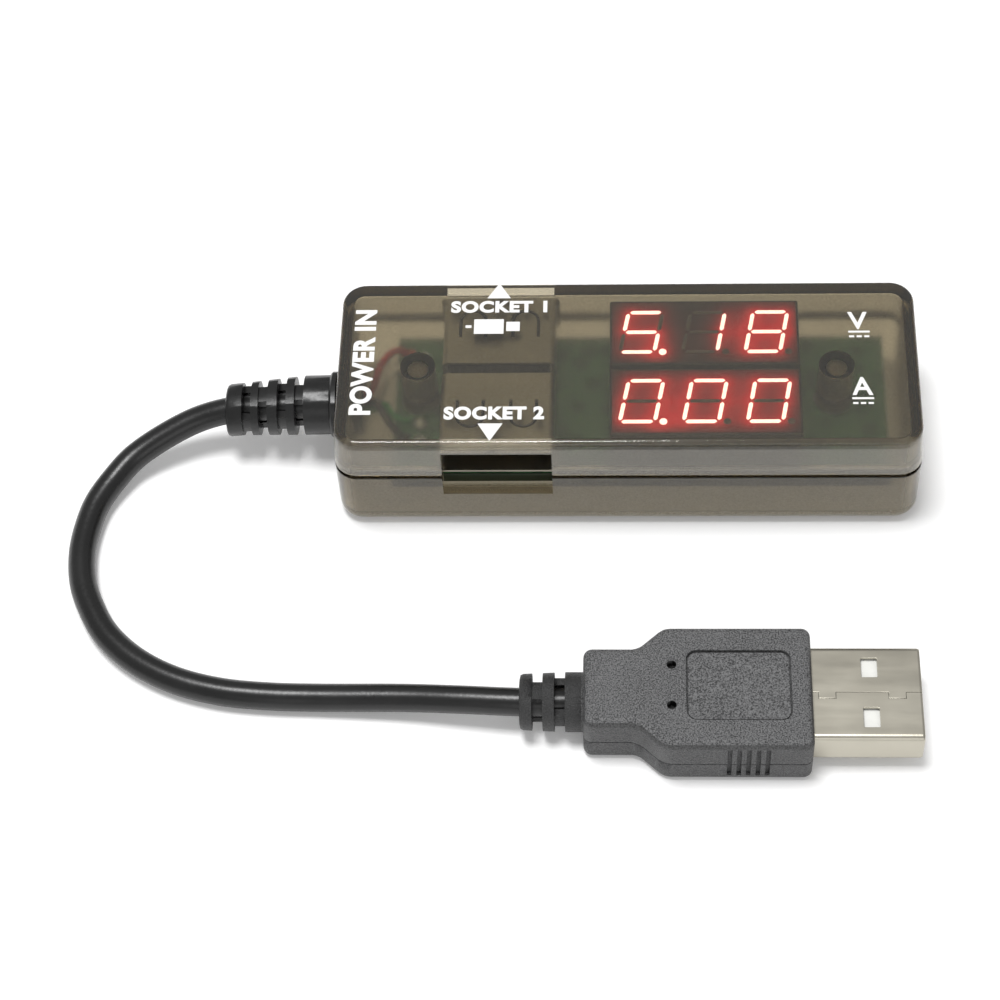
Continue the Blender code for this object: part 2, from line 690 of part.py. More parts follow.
def plug_blind_holes():
    """Two ejector holes beside the panel."""
    return [rod(f"plug_hole_{side}", 0.0005, PLUG_HEIGHT - 0.0008, PLUG_HEIGHT + 0.001, plug_plastic(),
                (0.0049, PLUG_Y + side * 0.0026, 0), sides=20) for side in (-1, 1)]


def plug_grooves():
    """Five upright grip grooves in each side."""
    grooves = []
    for side in (-1, 1):
        for number in range(5):
            x = 0.0112 + number * 0.00105
            ys = sorted((side * (PLUG_WIDTH / 2 - 0.0004), side * (PLUG_WIDTH / 2 + 0.001)))
            low = (x - 0.00025, PLUG_Y + ys[0], 0.0012)
            high = (x + 0.00025, PLUG_Y + ys[1], PLUG_HEIGHT - 0.0010)
            grooves.append(block(f"plug_groove_{side}_{number}", low, high, plug_plastic()))
    return grooves


def plug_inner_mould():
    """The plastic pre-mould that holds the wires behind the shell."""
    low = (0.0046, PLUG_Y - 0.0055, PLUG_MID_Z - 0.0021)
    high = (SHELL_REAR_X - CLEARANCE, PLUG_Y + 0.0055, PLUG_MID_Z + 0.0021)
    return block("plug_inner_mould", low, high, white_insulator())


def plug_shell():
    """The rolled sheet shell, with latch holes and the open dovetailed seam on top."""
    def ring(x, inset):
        outline = rounded_outline(SHELL_WIDTH / 2 - inset, SHELL_HEIGHT / 2 - inset, 0.0006 - inset * 0.8)
        return [(x, PLUG_Y + y, PLUG_MID_Z + z) for y, z in outline]

    levels = ((SHELL_REAR_X, 0), (SHELL_TIP_X - 0.0002, 0), (SHELL_TIP_X, 0.0001),
              (SHELL_TIP_X, SHEET), (SHELL_REAR_X, SHEET))
    shell = finish("plug_shell", loft([ring(*level) for level in levels], closed=True), nickel_sheet())
    for side in (-1, 1):
        y = PLUG_Y + side * 0.0032
        hole = block(f"shell_hole_{side}", (0.0259, y - 0.00125, -0.001), (0.0277, y + 0.00125, 0.010),
                     nickel_sheet())
        cut(shell, hole)
    cut(shell, shell_seam())
    return shell


def shell_seam():
    """A narrow cutter along the shell's top, stepping aside at the two dovetails."""
    step, width = -0.0008, 0.00012
    line = [(SHELL_REAR_X - 0.001, 0), (0.0211, 0), (0.0211, step), (0.0230, step), (0.0230, 0),
            (0.0288, 0), (0.0288, step), (0.0307, step), (0.0307, 0), (SHELL_TIP_X + 0.001, 0)]
    turns = [0, 1, 1, -1, -1, 1, 1, -1, -1, 0]
    near = [(x + turn * -width / 2, PLUG_Y + y - width / 2) for (x, y), turn in zip(line, turns)]
    far = [(x - turn * -width / 2, PLUG_Y + y + width / 2) for (x, y), turn in zip(line, turns)]
    low = PLUG_MID_Z + SHELL_HEIGHT / 2 - 0.0005
    return finish("shell_seam", extrude_outline(near + far[::-1], low, low + 0.001), nickel_sheet())


def plug_insulator():
    """The white tongue that fills the upper half of the shell."""
    half = SHELL_WIDTH / 2 - SHEET - CLEARANCE
    top = PLUG_MID_Z + SHELL_HEIGHT / 2 - SHEET - CLEARANCE
    low = (SHELL_REAR_X, PLUG_Y - half, PLUG_MID_Z)
    return block("plug_insulator", low, (SHELL_TIP_X - 0.0004, PLUG_Y + half, top), white_insulator())


def plug_contacts():
    """Four gold strips under the tongue, the outer two longer."""
    for number, offset in enumerate(CONTACT_OFFSETS, 1):
        tip_x = SHELL_TIP_X - (0.0016 if abs(offset) > 0.002 else 0.0026)
        top = PLUG_MID_Z - CLEARANCE
        low = (SHELL_REAR_X + 0.0005, PLUG_Y + offset - CONTACT_WIDTH / 2, top - CONTACT_THICKNESS)
        high = (tip_x, PLUG_Y + offset + CONTACT_WIDTH / 2, top)
        block(f"plug_contact_{number}", low, high, gold_contact())


def clear_scene():
    for old in list(bpy.data.objects):
        bpy.data.objects.remove(old, do_unlink=True)


clear_scene()
lower_case()
upper_case()
case_screws()
circuit_board()
display("display_volts", DISPLAY_YS[0])
display("display_amps", DISPLAY_YS[1])
board_components()
socket("front", -SOCKET_MOUTH_Y, -1)
socket("rear", SOCKET_MOUTH_Y, 1)
cable_gland()
cable()
inner_wires()
plug_overmould()
plug_inner_mould()
plug_shell()
plug_insulator()
plug_contacts()
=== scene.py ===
from math import cos, exp, hypot, pi, radians, sin

import bmesh
import bpy
from mathutils import Matrix, Vector


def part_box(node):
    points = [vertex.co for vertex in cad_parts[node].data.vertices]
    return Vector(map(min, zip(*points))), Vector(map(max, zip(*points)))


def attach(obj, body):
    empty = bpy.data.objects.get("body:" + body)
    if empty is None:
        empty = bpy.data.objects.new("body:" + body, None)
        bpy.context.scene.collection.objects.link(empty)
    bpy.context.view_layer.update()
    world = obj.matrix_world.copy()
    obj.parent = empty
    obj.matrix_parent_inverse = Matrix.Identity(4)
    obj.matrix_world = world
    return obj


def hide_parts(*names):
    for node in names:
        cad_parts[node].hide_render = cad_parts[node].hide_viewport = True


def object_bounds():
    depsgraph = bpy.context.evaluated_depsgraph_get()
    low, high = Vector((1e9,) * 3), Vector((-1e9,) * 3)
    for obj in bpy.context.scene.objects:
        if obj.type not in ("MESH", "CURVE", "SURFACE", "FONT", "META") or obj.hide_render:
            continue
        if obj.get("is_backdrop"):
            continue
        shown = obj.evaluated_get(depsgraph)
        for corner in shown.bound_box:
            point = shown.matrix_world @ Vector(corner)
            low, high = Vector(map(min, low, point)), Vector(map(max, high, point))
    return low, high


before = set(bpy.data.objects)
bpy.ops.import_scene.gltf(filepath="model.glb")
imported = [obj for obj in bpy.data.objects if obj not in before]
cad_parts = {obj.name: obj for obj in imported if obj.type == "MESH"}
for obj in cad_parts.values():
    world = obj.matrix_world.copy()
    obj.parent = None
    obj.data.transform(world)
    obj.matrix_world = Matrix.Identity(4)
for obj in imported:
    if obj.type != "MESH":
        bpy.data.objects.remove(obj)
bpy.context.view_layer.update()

# The studio
# A sheet of softly lit white acrylic under one overhead softbox, with a weaker fill
# from the front. The camera looks down from the front, turned a little to the left.

camera_yaw = radians(4.94)
camera_pitch = radians(35.42)
camera_roll = radians(-4.15)
camera_place = (0.0007, -0.19276, 0.25943)
camera = bpy.data.objects.new("camera", bpy.data.cameras.new("camera"))
camera.data.sensor_width = 36.0
camera.data.lens = 95.9
camera.data.clip_start = 0.01
bpy.context.collection.objects.link(camera)
camera.matrix_world = (Matrix.Translation(camera_place) @ Matrix.Rotation(camera_yaw, 4, "Z")
                       @ Matrix.Rotation(camera_pitch, 4, "X") @ Matrix.Rotation(camera_roll, 4, "Z"))
bpy.context.scene.camera = camera
bpy.context.scene.view_settings.view_transform = "Standard"


def softbox(name, place, aim, size, power):
    """A square area lamp that faces a point."""
    lamp = bpy.data.lights.new(name, "AREA")
    lamp.shape = "RECTANGLE"
    lamp.size, lamp.size_y = size
    lamp.energy = power
    made = bpy.data.objects.new(name, lamp)
    heading = (Vector(aim) - Vector(place)).to_track_quat("-Z", "Y")
    made.matrix_world = Matrix.Translation(place) @ heading.to_matrix().to_4x4()
    bpy.context.collection.objects.link(made)


softbox("overhead_softbox", (-0.12, 0.02, 0.80), (0, -0.01, 0), (0.26, 0.26), 5.0)
softbox("front_fill", (0.15, -0.75, 0.35), (0, 0, 0), (0.7, 0.4), 1.0)

world = bpy.data.worlds.new("studio")
world.use_nodes = True
world.node_tree.nodes["Background"].inputs["Color"].default_value = (1.0, 1.0, 1.0, 1.0)
world.node_tree.nodes["Background"].inputs["Strength"].default_value = 0.45
bpy.context.scene.world = world


class Wire:
    """A socket in a material's tree, so that shader maths reads as arithmetic."""

    def __init__(self, tree, socket):
        self.tree = tree
        self.socket = socket

    def combine(self, operation, first, second):
        node = self.tree.nodes.new("ShaderNodeMath")
        node.operation = operation
        for socket, value in zip(node.inputs, (first, second)):
            if isinstance(value, Wire):
                self.tree.links.new(value.socket, socket)
            else:
                socket.default_value = value
        return Wire(self.tree, node.outputs[0])

    def __add__(self, other):
        return self.combine("ADD", self, other)

    def __sub__(self, other):
        return self.combine("SUBTRACT", self, other)

    def __rsub__(self, other):
        return self.combine("SUBTRACT", other, self)

    def __mul__(self, other):
        return self.combine("MULTIPLY", self, other)

    def __pow__(self, other):
        return self.combine("POWER", self, other)

    def over(self, limit):
        return self.combine("GREATER_THAN", self, limit)

    def at_most(self, limit):
        return self.combine("MINIMUM", self, limit)

    def at_least(self, limit):
        return self.combine("MAXIMUM", self, limit)

    def size(self):
        return self.combine("ABSOLUTE", self, 0.0)

    __radd__ = __add__
    __rmul__ = __mul__


class Surface:
    """A material being made; its patterns lie in the piece's own coordinates."""

    def __init__(self, name, **constants):
        self.material = bpy.data.materials.new(name)
        self.material.use_nodes = True
        self.tree = self.material.node_tree
        self.shader = self.tree.nodes["Principled BSDF"]
        self.place = self.node("ShaderNodeTexCoord", out="Object")
        for socket, value in constants.items():
            self.shader.inputs[socket.replace("_", " ")].default_value = value

    def node(self, kind, settings=None, values=None, out=0):
        node = self.tree.nodes.new(kind)
        for key, value in (settings or {}).items():
            if key == "stops":
                for stop, (position, colour) in zip(node.color_ramp.elements, value):
                    stop.position, stop.color = position, (*colour, 1.0)
            else:
                setattr(node, key, value)
        for key, value in (values or {}).items():
            if isinstance(value, Wire):
                self.tree.links.new(value.socket, node.inputs[key])
            else:
                node.inputs[key].default_value = value
        return Wire(self.tree, node.outputs[out])

    def noise(self, scale, detail=2.0, stretch=(1, 1, 1)):
        """Soft random mottling; scale is in cycles a metre."""
        laid = self.node("ShaderNodeMapping", None, {"Vector": self.place, "Scale": stretch})
        values = {"Vector": laid, "Scale": scale, "Detail": detail}
        return self.node("ShaderNodeTexNoise", None, values)

    def axis(self, letter):
        """One of the piece's own coordinates, in metres."""
        return self.node("ShaderNodeSeparateXYZ", None, {0: self.place}, letter)

    def blend(self, factor, first, second):
        """A colour between two others."""
        pair = [(*c, 1.0) if isinstance(c, tuple) else c for c in (first, second)]
        values = {0: factor, 6: pair[0], 7: pair[1]}
        return self.node("ShaderNodeMix", {"data_type": "RGBA"}, values, 2)

    def feed(self, socket, wire):
        self.tree.links.new(wire.socket, self.shader.inputs[socket])

    def raise_by(self, height, depth, strength=1.0):
        """Bump the surface by a height field; depth is in metres."""
        values = {"Height": height, "Distance": depth, "Strength": strength}
        self.feed("Normal", self.node("ShaderNodeBump", None, values))


floor_finish = Surface("lit_acrylic", Roughness=0.9, Specular_IOR_Level=0.1, Emission_Strength=0.12)
floor_shade = floor_finish.noise(40, 3)
floor_finish.feed("Base Color", floor_finish.blend(floor_shade, (0.93, 0.93, 0.93), (0.95, 0.95, 0.95)))
floor_finish.feed("Emission Color", floor_finish.blend(floor_shade, (0.98, 0.98, 0.98), (1.0, 1.0, 1.0)))
bpy.ops.mesh.primitive_plane_add(size=4.0)
floor = bpy.context.object
floor.name = "studio_floor"
floor.data.materials.append(floor_finish.material)
floor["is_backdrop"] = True


# The lower case half
# A tray injection-moulded in smoke-brown see-through plastic, with a well-rounded
# foot, a thin lip that locates the lid, two screw posts and notches for the sockets.

case_low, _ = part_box("lower_case")
_, case_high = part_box("upper_case")
case_half_x, case_half_y = case_high.x, case_high.y
case_top = case_high.z - 0.00002
wall = 0.0015
ceiling = case_high.z - 0.0013
corner_radius = 0.0028
foot_radius = 0.0020
seam_low, seam_high = 0.0090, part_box("upper_case")[0].z
seam_chamfer = 0.00008
lip_thickness, lip_height = 0.0006, 0.0011
slack = 0.0003
cable_hole_radius = 0.0033
post_xs = (-0.0245, 0.0244)
post_radius = 0.00205
shoulder_radius, shoulder_top = 0.0028, 0.0059
shank_hole_radius = 0.00125
head_hole_radius, head_hole_top = 0.0020, 0.0030
past_face = 0.001
port_x, port_width, port_low, port_high = -0.01505, 0.0128, 0.0060, 0.0134
gland_z = 0.0072


def rounded(half_x, half_y, radius, steps=10):
    """Points round a rectangle with arc corners."""
    points = []
    for turn, (sign_x, sign_y) in enumerate(((1, 1), (-1, 1), (-1, -1), (1, -1))):
        for step in range(steps + 1):
            angle = pi / 2 * (turn + step / steps)
            points.append((sign_x * (half_x - radius) + radius * cos(angle),
                           sign_y * (half_y - radius) + radius * sin(angle)))
    return points


def case_ring(z, inset, radius):
    """The case's outline at one height, drawn in by an inset."""
    return [(x, y, z) for x, y in rounded(case_half_x - inset, case_half_y - inset, radius)]


def skin(name, rings, closed=False):
    """Join equal rings of points into a solid; a closed stack meets its own start."""
    shape = bmesh.new()
    rows = [[shape.verts.new(point) for point in ring] for ring in rings]
    pairs = list(zip(rows, rows[1:]))
    if closed:
        pairs.append((rows[-1], rows[0]))
    for low, high in pairs:
        for here in range(len(low)):
            there = (here + 1) % len(low)
            shape.faces.new((low[here], low[there], high[there], high[here]))
    if not closed:
        shape.faces.new(rows[0])
        shape.faces.new(rows[-1])
    bmesh.ops.recalc_face_normals(shape, faces=shape.faces)
    return as_object(name, shape)


def as_object(name, shape):
    """Put a finished bmesh into the scene."""
    mesh = bpy.data.meshes.new(name)
    shape.to_mesh(mesh)
    shape.free()
    made = bpy.data.objects.new(name, mesh)
    bpy.context.collection.objects.link(made)
    return made


def prism(name, outline, low, high):
    """A straight solid over a plan outline."""
    return skin(name, [[(x, y, z) for x, y in outline] for z in (low, high)])


def brick(name, low, high):
    """A box between two corners."""
    (x0, y0, z0), (x1, y1, z1) = low, high
    return prism(name, ((x0, y0), (x1, y0), (x1, y1), (x0, y1)), z0, z1)


def circle(radius, sides=48):
    return [(radius * cos(2 * pi * n / sides), radius * sin(2 * pi * n / sides)) for n in range(sides)]


def upright(name, radius, low, high, x, y=0.0, sides=48):
    """A cylinder that stands at a point."""
    return prism(name, [(x + a, y + b) for a, b in circle(radius, sides)], low, high)


def settle(piece):
    """Replace a piece's mesh by what its modifiers make of it."""
    graph = bpy.context.evaluated_depsgraph_get()
    mesh = bpy.data.meshes.new_from_object(piece.evaluated_get(graph))
    piece.modifiers.clear()
    piece.data = mesh


def carve(piece, tools, operation="DIFFERENCE"):
    """Cut tools from a piece, or weld them on, and throw the tools away."""
    for tool in tools:
        step = piece.modifiers.new(tool.name, "BOOLEAN")
        step.operation = operation
        step.solver = "EXACT"
        step.object = tool
    settle(piece)
    for tool in tools:
        bpy.data.objects.remove(tool, do_unlink=True)


def soften(piece, angle=32, width=0.0, segments=2):
    """Round a piece's hard edges a little, and shade it by the size of its faces."""
    if width:
        edge = piece.modifiers.new("edge", "BEVEL")
        edge.width = width
        edge.segments = segments
        edge.limit_method = "ANGLE"
        edge.angle_limit = radians(angle)
        settle(piece)
    piece.data.shade_smooth()
    piece.data.set_sharp_from_angle(angle=radians(angle))
    normals = piece.modifiers.new("normals", "WEIGHTED_NORMAL")
    normals.keep_sharp = True
    settle(piece)
    piece.data.validate()


def install(piece, surface, slot, *stands_for):
    """Dress a piece, fix it to the meter and hide the plain solids it stands for."""
    piece.data.materials.clear()
    piece.data.materials.append(surface.material)
    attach(piece, "root")
    if stands_for:
        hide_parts(*stands_for)


def smoked_plastic(name):
    """See-through brown plastic, polished outside, frosted inside and clouded in the lid's walls."""
    surface = Surface(name, IOR=1.49, Transmission_Weight=0.968)
    x, y, z = surface.axis("X"), surface.axis("Y"), surface.axis("Z")
    grain = surface.noise(4200, 3)
    flow = surface.noise(60, 2, (1, 2.5, 1))
    seam_shade_height, side_skin, top_skin, foot_skin = 0.00034, 0.0011, 0.0007, 0.0008
    # Painted shade: the base colour is darkened in a narrow band along the seam between the two halves.
    seam_shade = (seam_shade_height - (z - (seam_low + seam_high) / 2).size()).over(0.0)
    tint = surface.blend(flow * 0.4 + (grain - 0.5) * 2.2 + 0.3, (0.78, 0.75, 0.67), (0.99, 0.96, 0.88))
    surface.feed("Base Color", surface.blend(seam_shade, tint, (0.05, 0.045, 0.035)))
    off_side = (x.size() - (case_half_x - side_skin)).at_least(y.size() - (case_half_y - side_skin))
    off_ends = (z - (case_top - top_skin)).at_least(foot_skin - z)
    outside = off_side.at_least(off_ends).over(0.0)
    walls = (ceiling - 0.0002 - z).over(0.0)
    frosted, polish = 0.22 + walls * 0.30, outside * (0.16 + walls * 0.30)
    surface.feed("Roughness", frosted - polish + grain * 0.05)
    surface.raise_by(grain, 0.00001, 0.3)
    smoke = surface.node("ShaderNodeVolumeAbsorption", None,
                         {"Color": (0.39, 0.295, 0.06, 1), "Density": 440.0})
    surface.tree.links.new(smoke.socket, surface.tree.nodes["Material Output"].inputs["Volume"])
    cloudy = surface.node("ShaderNodeBsdfPrincipled", None, {"Base Color": tint, "Roughness": 0.4})
    above_seam = (z - seam_high - 0.0002).over(0.0)
    below_edge = (case_top - 0.0011 - z).over(0.0)
    share = off_side.over(0.0) * (above_seam * below_edge) * 0.14
    both = surface.node("ShaderNodeMixShader", None,
                        {0: share, 1: Wire(surface.tree, surface.shader.outputs[0]), 2: cloudy})
    surface.tree.links.new(both.socket, surface.tree.nodes["Material Output"].inputs["Surface"])
    return surface


def wall_openings(owner):
    """Cutters for the two socket openings and the round cable hole."""
    cutters = []
    for side in (-1, 1):
        ys = sorted((side * (case_half_y - wall - 0.0002), side * (case_half_y + 0.002)))
        cutters.append(brick(f"{owner}_port_{side}", (port_x - port_width / 2, ys[0], port_low),
                             (port_x + port_width / 2, ys[1], port_high)))
    hole = [[(x, a, gland_z + b) for a, b in circle(cable_hole_radius)]
            for x in (-case_half_x - 0.002, -case_half_x + 0.002)]
    cutters.append(skin(f"{owner}_cable_hole", hole))
    return cutters


foot_rings = []
foot_steps = 10
for step in range(foot_steps + 1):
    tilt = pi / 2 * step / foot_steps
    inset = foot_radius * (1 - sin(tilt))
    foot_rings.append(case_ring(foot_radius * (1 - cos(tilt)), inset, corner_radius - inset))
foot_rings.append(case_ring(seam_low - seam_chamfer, 0.0, corner_radius))
foot_rings.append(case_ring(seam_low, seam_chamfer, corner_radius - seam_chamfer))
lower_case = skin("smoked_lower_case", foot_rings)
lip_foot, lip_outer = seam_low - past_face, wall - lip_thickness
lip_levels = ((lip_foot, lip_outer), (seam_low + lip_height, lip_outer),
              (seam_low + lip_height, wall), (lip_foot, wall))
lip = skin("locating_lip", [case_ring(z, inset, corner_radius - inset) for z, inset in lip_levels], True)
tray_room = skin("tray_room", [case_ring(z, wall, corner_radius - wall) for z in (wall, seam_high)])
carve(lower_case, [tray_room])
carve(lower_case, [lip], "UNION")
carve(lower_case, wall_openings("lower"))
for x in post_xs:
    posts = [upright("shoulder", shoulder_radius, wall - 0.0005, shoulder_top, x),
             upright("post", post_radius, wall, seam_low, x)]
    carve(lower_case, posts, "UNION")
    carve(lower_case, [upright("shank_hole", shank_hole_radius, -past_face, seam_high, x),
                       upright("head_hole", head_hole_radius, -past_face, head_hole_top, x)])
soften(lower_case)
install(lower_case, smoked_plastic("smoked_tray"), "smoked_plastic", "lower_case")


# The case screws
# Two small pan-head screws of bright zinc-plated steel, driven up from below through
# the posts. Each has a cross recess, and its plating is faintly mottled.

screw_zinc = Surface("screw_zinc", Metallic=1.0, Roughness=0.3)
plate = screw_zinc.noise(900, 4)
screw_zinc.feed("Base Color", screw_zinc.blend(plate, (0.42, 0.42, 0.44), (0.60, 0.60, 0.62)))
screw_zinc.feed("Roughness", 0.22 + plate * 0.25)
screw_zinc.raise_by(screw_zinc.noise(6000, 2), 0.00001, 0.3)
for number in (1, 2):
    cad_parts[f"case_screw_{number}"].data.materials.clear()
    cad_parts[f"case_screw_{number}"].data.materials.append(screw_zinc.material)


# The circuit board
# A fibreglass board in dark green solder mask with copper runs showing faintly under
# it. The chip, regulator, shunt and capacitors are soldered to its underside.

mask_green = Surface("mask_green", Roughness=0.35, Coat_Weight=0.3)
lanes = mask_green.node("ShaderNodeTexVoronoi", {"distance": "MANHATTAN", "feature": "F1"},
                        {"Vector": mask_green.place, "Scale": 330.0, "Randomness": 0.85}, "Distance")
runs = lanes.over(0.52)
weave = mask_green.noise(2500, 3)
mask_base = mask_green.blend(weave, (0.030, 0.092, 0.042), (0.042, 0.125, 0.058))
mask_face = mask_green.blend(runs * 0.7, mask_base, (0.075, 0.200, 0.090))
# Painted shade: the board's base colour is darkened to near black along its two long edges.
board_edge_shade = ((mask_green.axis("Y") + 0.0007).size() - 0.0098).over(0.0)
mask_green.feed("Base Color", mask_green.blend(board_edge_shade, mask_face, (0.010, 0.018, 0.006)))
mask_green.feed("Roughness", 0.28 + weave * 0.2)
mask_green.raise_by(runs, 0.00003, 0.6)
board_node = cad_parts["circuit_board"]
board_node.data.materials.clear()
board_node.data.materials.append(mask_green.material)

part_finishes = {
    "meter_chip": ((0.016, 0.016, 0.018), (0.030, 0.030, 0.032), 0.6, 0.0),
    "regulator": ((0.016, 0.016, 0.018), (0.030, 0.030, 0.032), 0.6, 0.0),
    "shunt_resistor": ((0.40, 0.39, 0.37), (0.55, 0.54, 0.52), 0.35, 1.0),
    "capacitor_1": ((0.36, 0.25, 0.15), (0.46, 0.33, 0.20), 0.5, 0.0),
    "capacitor_2": ((0.36, 0.25, 0.15), (0.46, 0.33, 0.20), 0.5, 0.0),
}
for name, (dark, light, roughness, metallic) in part_finishes.items():
    moulded = Surface(f"{name}_body", Metallic=metallic)
    speckle = moulded.noise(3500, 4)
    moulded.feed("Base Color", moulded.blend(speckle, dark, light))
    moulded.feed("Roughness", roughness - 0.1 + speckle * 0.2)
    moulded.raise_by(speckle, 0.00002, 0.5)
    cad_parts[name].data.materials.clear()
    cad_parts[name].data.materials.append(moulded.material)


# The displays
# Two three-digit LED modules, volts behind and amps in front: a black housing filled
# with clear-red resin over seven slanted bars to a digit. The lit bars glow white-hot
# in the middle; the soft red halo round them is painted light, glowing from the resin face.

digit_width, digit_height, bar = 0.0045, 0.0064, 0.00047
digit_pitch = 0.00734
digit_lean = 0.176
bar_gap = 0.00020
point_radius = 0.00045
bars_of = {"0": "ABCDEF", "1": "BC", "5": "ACDFG", "8": "ABCDEFG"}


def bar_outlines():
    """The seven pointed bars of one upright digit, by letter, from its lower left corner."""
    left, right = bar / 2, digit_width - bar / 2
    low, middle, high = bar / 2, digit_height / 2, digit_height - bar / 2
    ends = {"A": ((left, high), (right, high)), "B": ((right, middle), (right, high)),
            "C": ((right, low), (right, middle)), "D": ((left, low), (right, low)),
            "E": ((left, low), (left, middle)), "F": ((left, middle), (left, high)),
            "G": ((left, middle), (right, middle))}
    outlines = {}
    for letter, (start, end) in ends.items():
        start, end = Vector(start), Vector(end)
        along = (end - start).normalized()
        across = Vector((-along.y, along.x)) * bar / 2
        start, end = start + along * bar_gap, end - along * bar_gap
        shoulder = along * bar / 2
        outlines[letter] = [start, start + shoulder + across, end - shoulder + across,
                            end, end - shoulder - across, start + shoulder - across]
    return outlines


def lean(point, origin):
    """Slant a point of a digit and move it to the digit's corner."""
    return origin[0] + point[0] + point[1] * digit_lean, origin[1] + point[1]


def display_bars(reading, origin):
    """Outlines of the lit and the dark bars of a reading such as 5.18."""
    lit, dark = [], []
    digits = reading.replace(".", "")
    for place, digit in enumerate(digits):
        corner = (origin[0] + place * digit_pitch, origin[1])
        for letter, outline in bar_outlines().items():
            chosen = lit if letter in bars_of[digit] else dark
            chosen.append([lean(point, corner) for point in outline])
        spot = lean((digit_width + 0.00075, bar / 2), corner)
        ring = [(spot[0] + a, spot[1] + b) for a, b in circle(point_radius, 16)]
        (lit if place == reading.index(".") - 1 else dark).append(ring)
    return lit, dark


def flat_bars(name, outlines, low, high):
    """Thin raised solids, all in one mesh."""
    shape = bmesh.new()
    for outline in outlines:
        rows = [[shape.verts.new((x, y, z)) for x, y in outline] for z in (low, high)]
        shape.faces.new(rows[0][::-1])
        shape.faces.new(rows[1])
        for here in range(len(outline)):
            there = (here + 1) % len(outline)
            shape.faces.new((rows[0][here], rows[0][there], rows[1][there], rows[1][here]))
    bmesh.ops.recalc_face_normals(shape, faces=shape.faces)
    return as_object(name, shape)


def distance_to(point, outline):
    """How far a point is from a closed outline's edges; nothing if it is inside."""
    inside, best = False, 1.0
    for (x0, y0), (x1, y1) in zip(outline, outline[1:] + outline[:1]):
        span = (x1 - x0) ** 2 + (y1 - y0) ** 2
        t = max(0.0, min(1.0, ((point[0] - x0) * (x1 - x0) + (point[1] - y0) * (y1 - y0)) / span))
        best = min(best, hypot(point[0] - x0 - t * (x1 - x0), point[1] - y0 - t * (y1 - y0)))
        if (y0 > point[1]) != (y1 > point[1]) and point[0] < (x1 - x0) * (point[1] - y0) / (y1 - y0) + x0:
            inside = not inside
    return 0.0 if inside else best


def glow_face(name, low, high, z, lit):
    """The module's face as a fine sheet that remembers how near each point is to a lit bar."""
    columns, rows = 111, 48
    shape = bmesh.new()
    bmesh.ops.create_grid(shape, x_segments=columns, y_segments=rows, size=0.5)
    for vert in shape.verts:
        vert.co.x = low.x + (vert.co.x + 0.5) * (high.x - low.x)
        vert.co.y = low.y + (vert.co.y + 0.5) * (high.y - low.y)
        vert.co.z = z
    sheet = as_object(name, shape)
    halo = sheet.data.attributes.new("halo", "FLOAT", "POINT")
    for vert, item in zip(sheet.data.vertices, halo.data):
        item.value = sum(exp(-distance_to(vert.co, outline) / 0.00130) for outline in lit)
    return sheet


display_black = Surface("display_black", Roughness=0.35)
speck = display_black.noise(2600, 3)
display_black.feed("Base Color", display_black.blend(speck, (0.010, 0.008, 0.008), (0.022, 0.018, 0.018)))
display_black.feed("Roughness", 0.28 + speck * 0.2)
display_black.raise_by(speck, 0.00001, 0.4)

halo_resin = Surface("halo_resin", Roughness=0.4, Emission_Strength=1.0)
haze = halo_resin.noise(900, 2)
halo_resin.feed("Base Color", halo_resin.blend(haze, (0.012, 0.006, 0.006), (0.030, 0.010, 0.010)))
nearness = halo_resin.node("ShaderNodeAttribute", {"attribute_name": "halo"}, None, "Fac")
# Painted light: the resin face glows red by its nearness to a lit bar.
glow = (nearness * 0.52).at_most(1.0)
halo_resin.feed("Emission Color", halo_resin.node("ShaderNodeValToRGB",
    {"stops": ((0.0, (0.0, 0.0, 0.0)), (1.0, (0.72, 0.0, 0.006)))}, {0: glow ** 2.2}))

lit_bar = Surface("lit_bar", Roughness=0.4, Emission_Strength=3.2)
flicker = lit_bar.noise(700, 2)
lit_bar.feed("Emission Color", lit_bar.blend(flicker, (1.0, 0.62, 0.62), (1.0, 0.72, 0.72)))
lit_bar.feed("Base Color", lit_bar.blend(flicker, (0.8, 0.25, 0.2), (0.9, 0.3, 0.22)))

dark_bar = Surface("dark_bar", Roughness=0.35)
milk = dark_bar.noise(1500, 2)
dark_bar.feed("Base Color", dark_bar.blend(milk, (0.10, 0.080, 0.060), (0.14, 0.110, 0.085)))
dark_bar.feed("Roughness", 0.3 + milk * 0.15)

for name, reading in (("volts", "5.18"), ("amps", "0.00")):
    low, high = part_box(f"display_{name}")
    face_z = high.z
    housing = brick(f"{name}_housing", low, (high.x, high.y, face_z - 0.00005))
    soften(housing, width=0.00018)
    install(housing, display_black, "display_black", f"display_{name}")
    corner = (low.x + 0.0009, (low.y + high.y) / 2 - digit_height / 2)
    lit, dark = display_bars(reading, corner)
    border = Vector((0.0003, 0.0003, 0))
    face = glow_face(f"{name}_resin_face", low + border, high - border, face_z - 0.00003, lit)
    install(face, halo_resin, "display_black")
    lit_bars = flat_bars(f"{name}_lit_bars", lit, face_z - 0.00002, face_z + 0.00004)
    install(lit_bars, lit_bar, "display_black")
    dark_bars = flat_bars(f"{name}_dark_bars", dark, face_z - 0.00002, face_z + 0.00001)
    install(dark_bars, dark_bar, "display_black")


# The sockets
# Two receptacles back to back on the board. Each is a folded shell of nickel-plated
# sheet with flared sides and two sprung fingers in its roof, round a black tongue
# whose four gold-flashed contacts face the board.

sheet_metal = 0.0003
socket_length = 0.0098
flare = 0.00045

nickel = Surface("nickel_plate", Metallic=1.0, Roughness=0.3)
drawn = nickel.noise(700, 4, (0.15, 1, 1))
smudge = nickel.noise(160, 3)
nickel.feed("Base Color", nickel.blend(smudge, (0.42, 0.395, 0.330), (0.53, 0.505, 0.430)))
nickel.feed("Roughness", 0.20 + drawn * 0.18 + smudge * 0.08)
nickel.raise_by(drawn, 0.00001, 0.25)

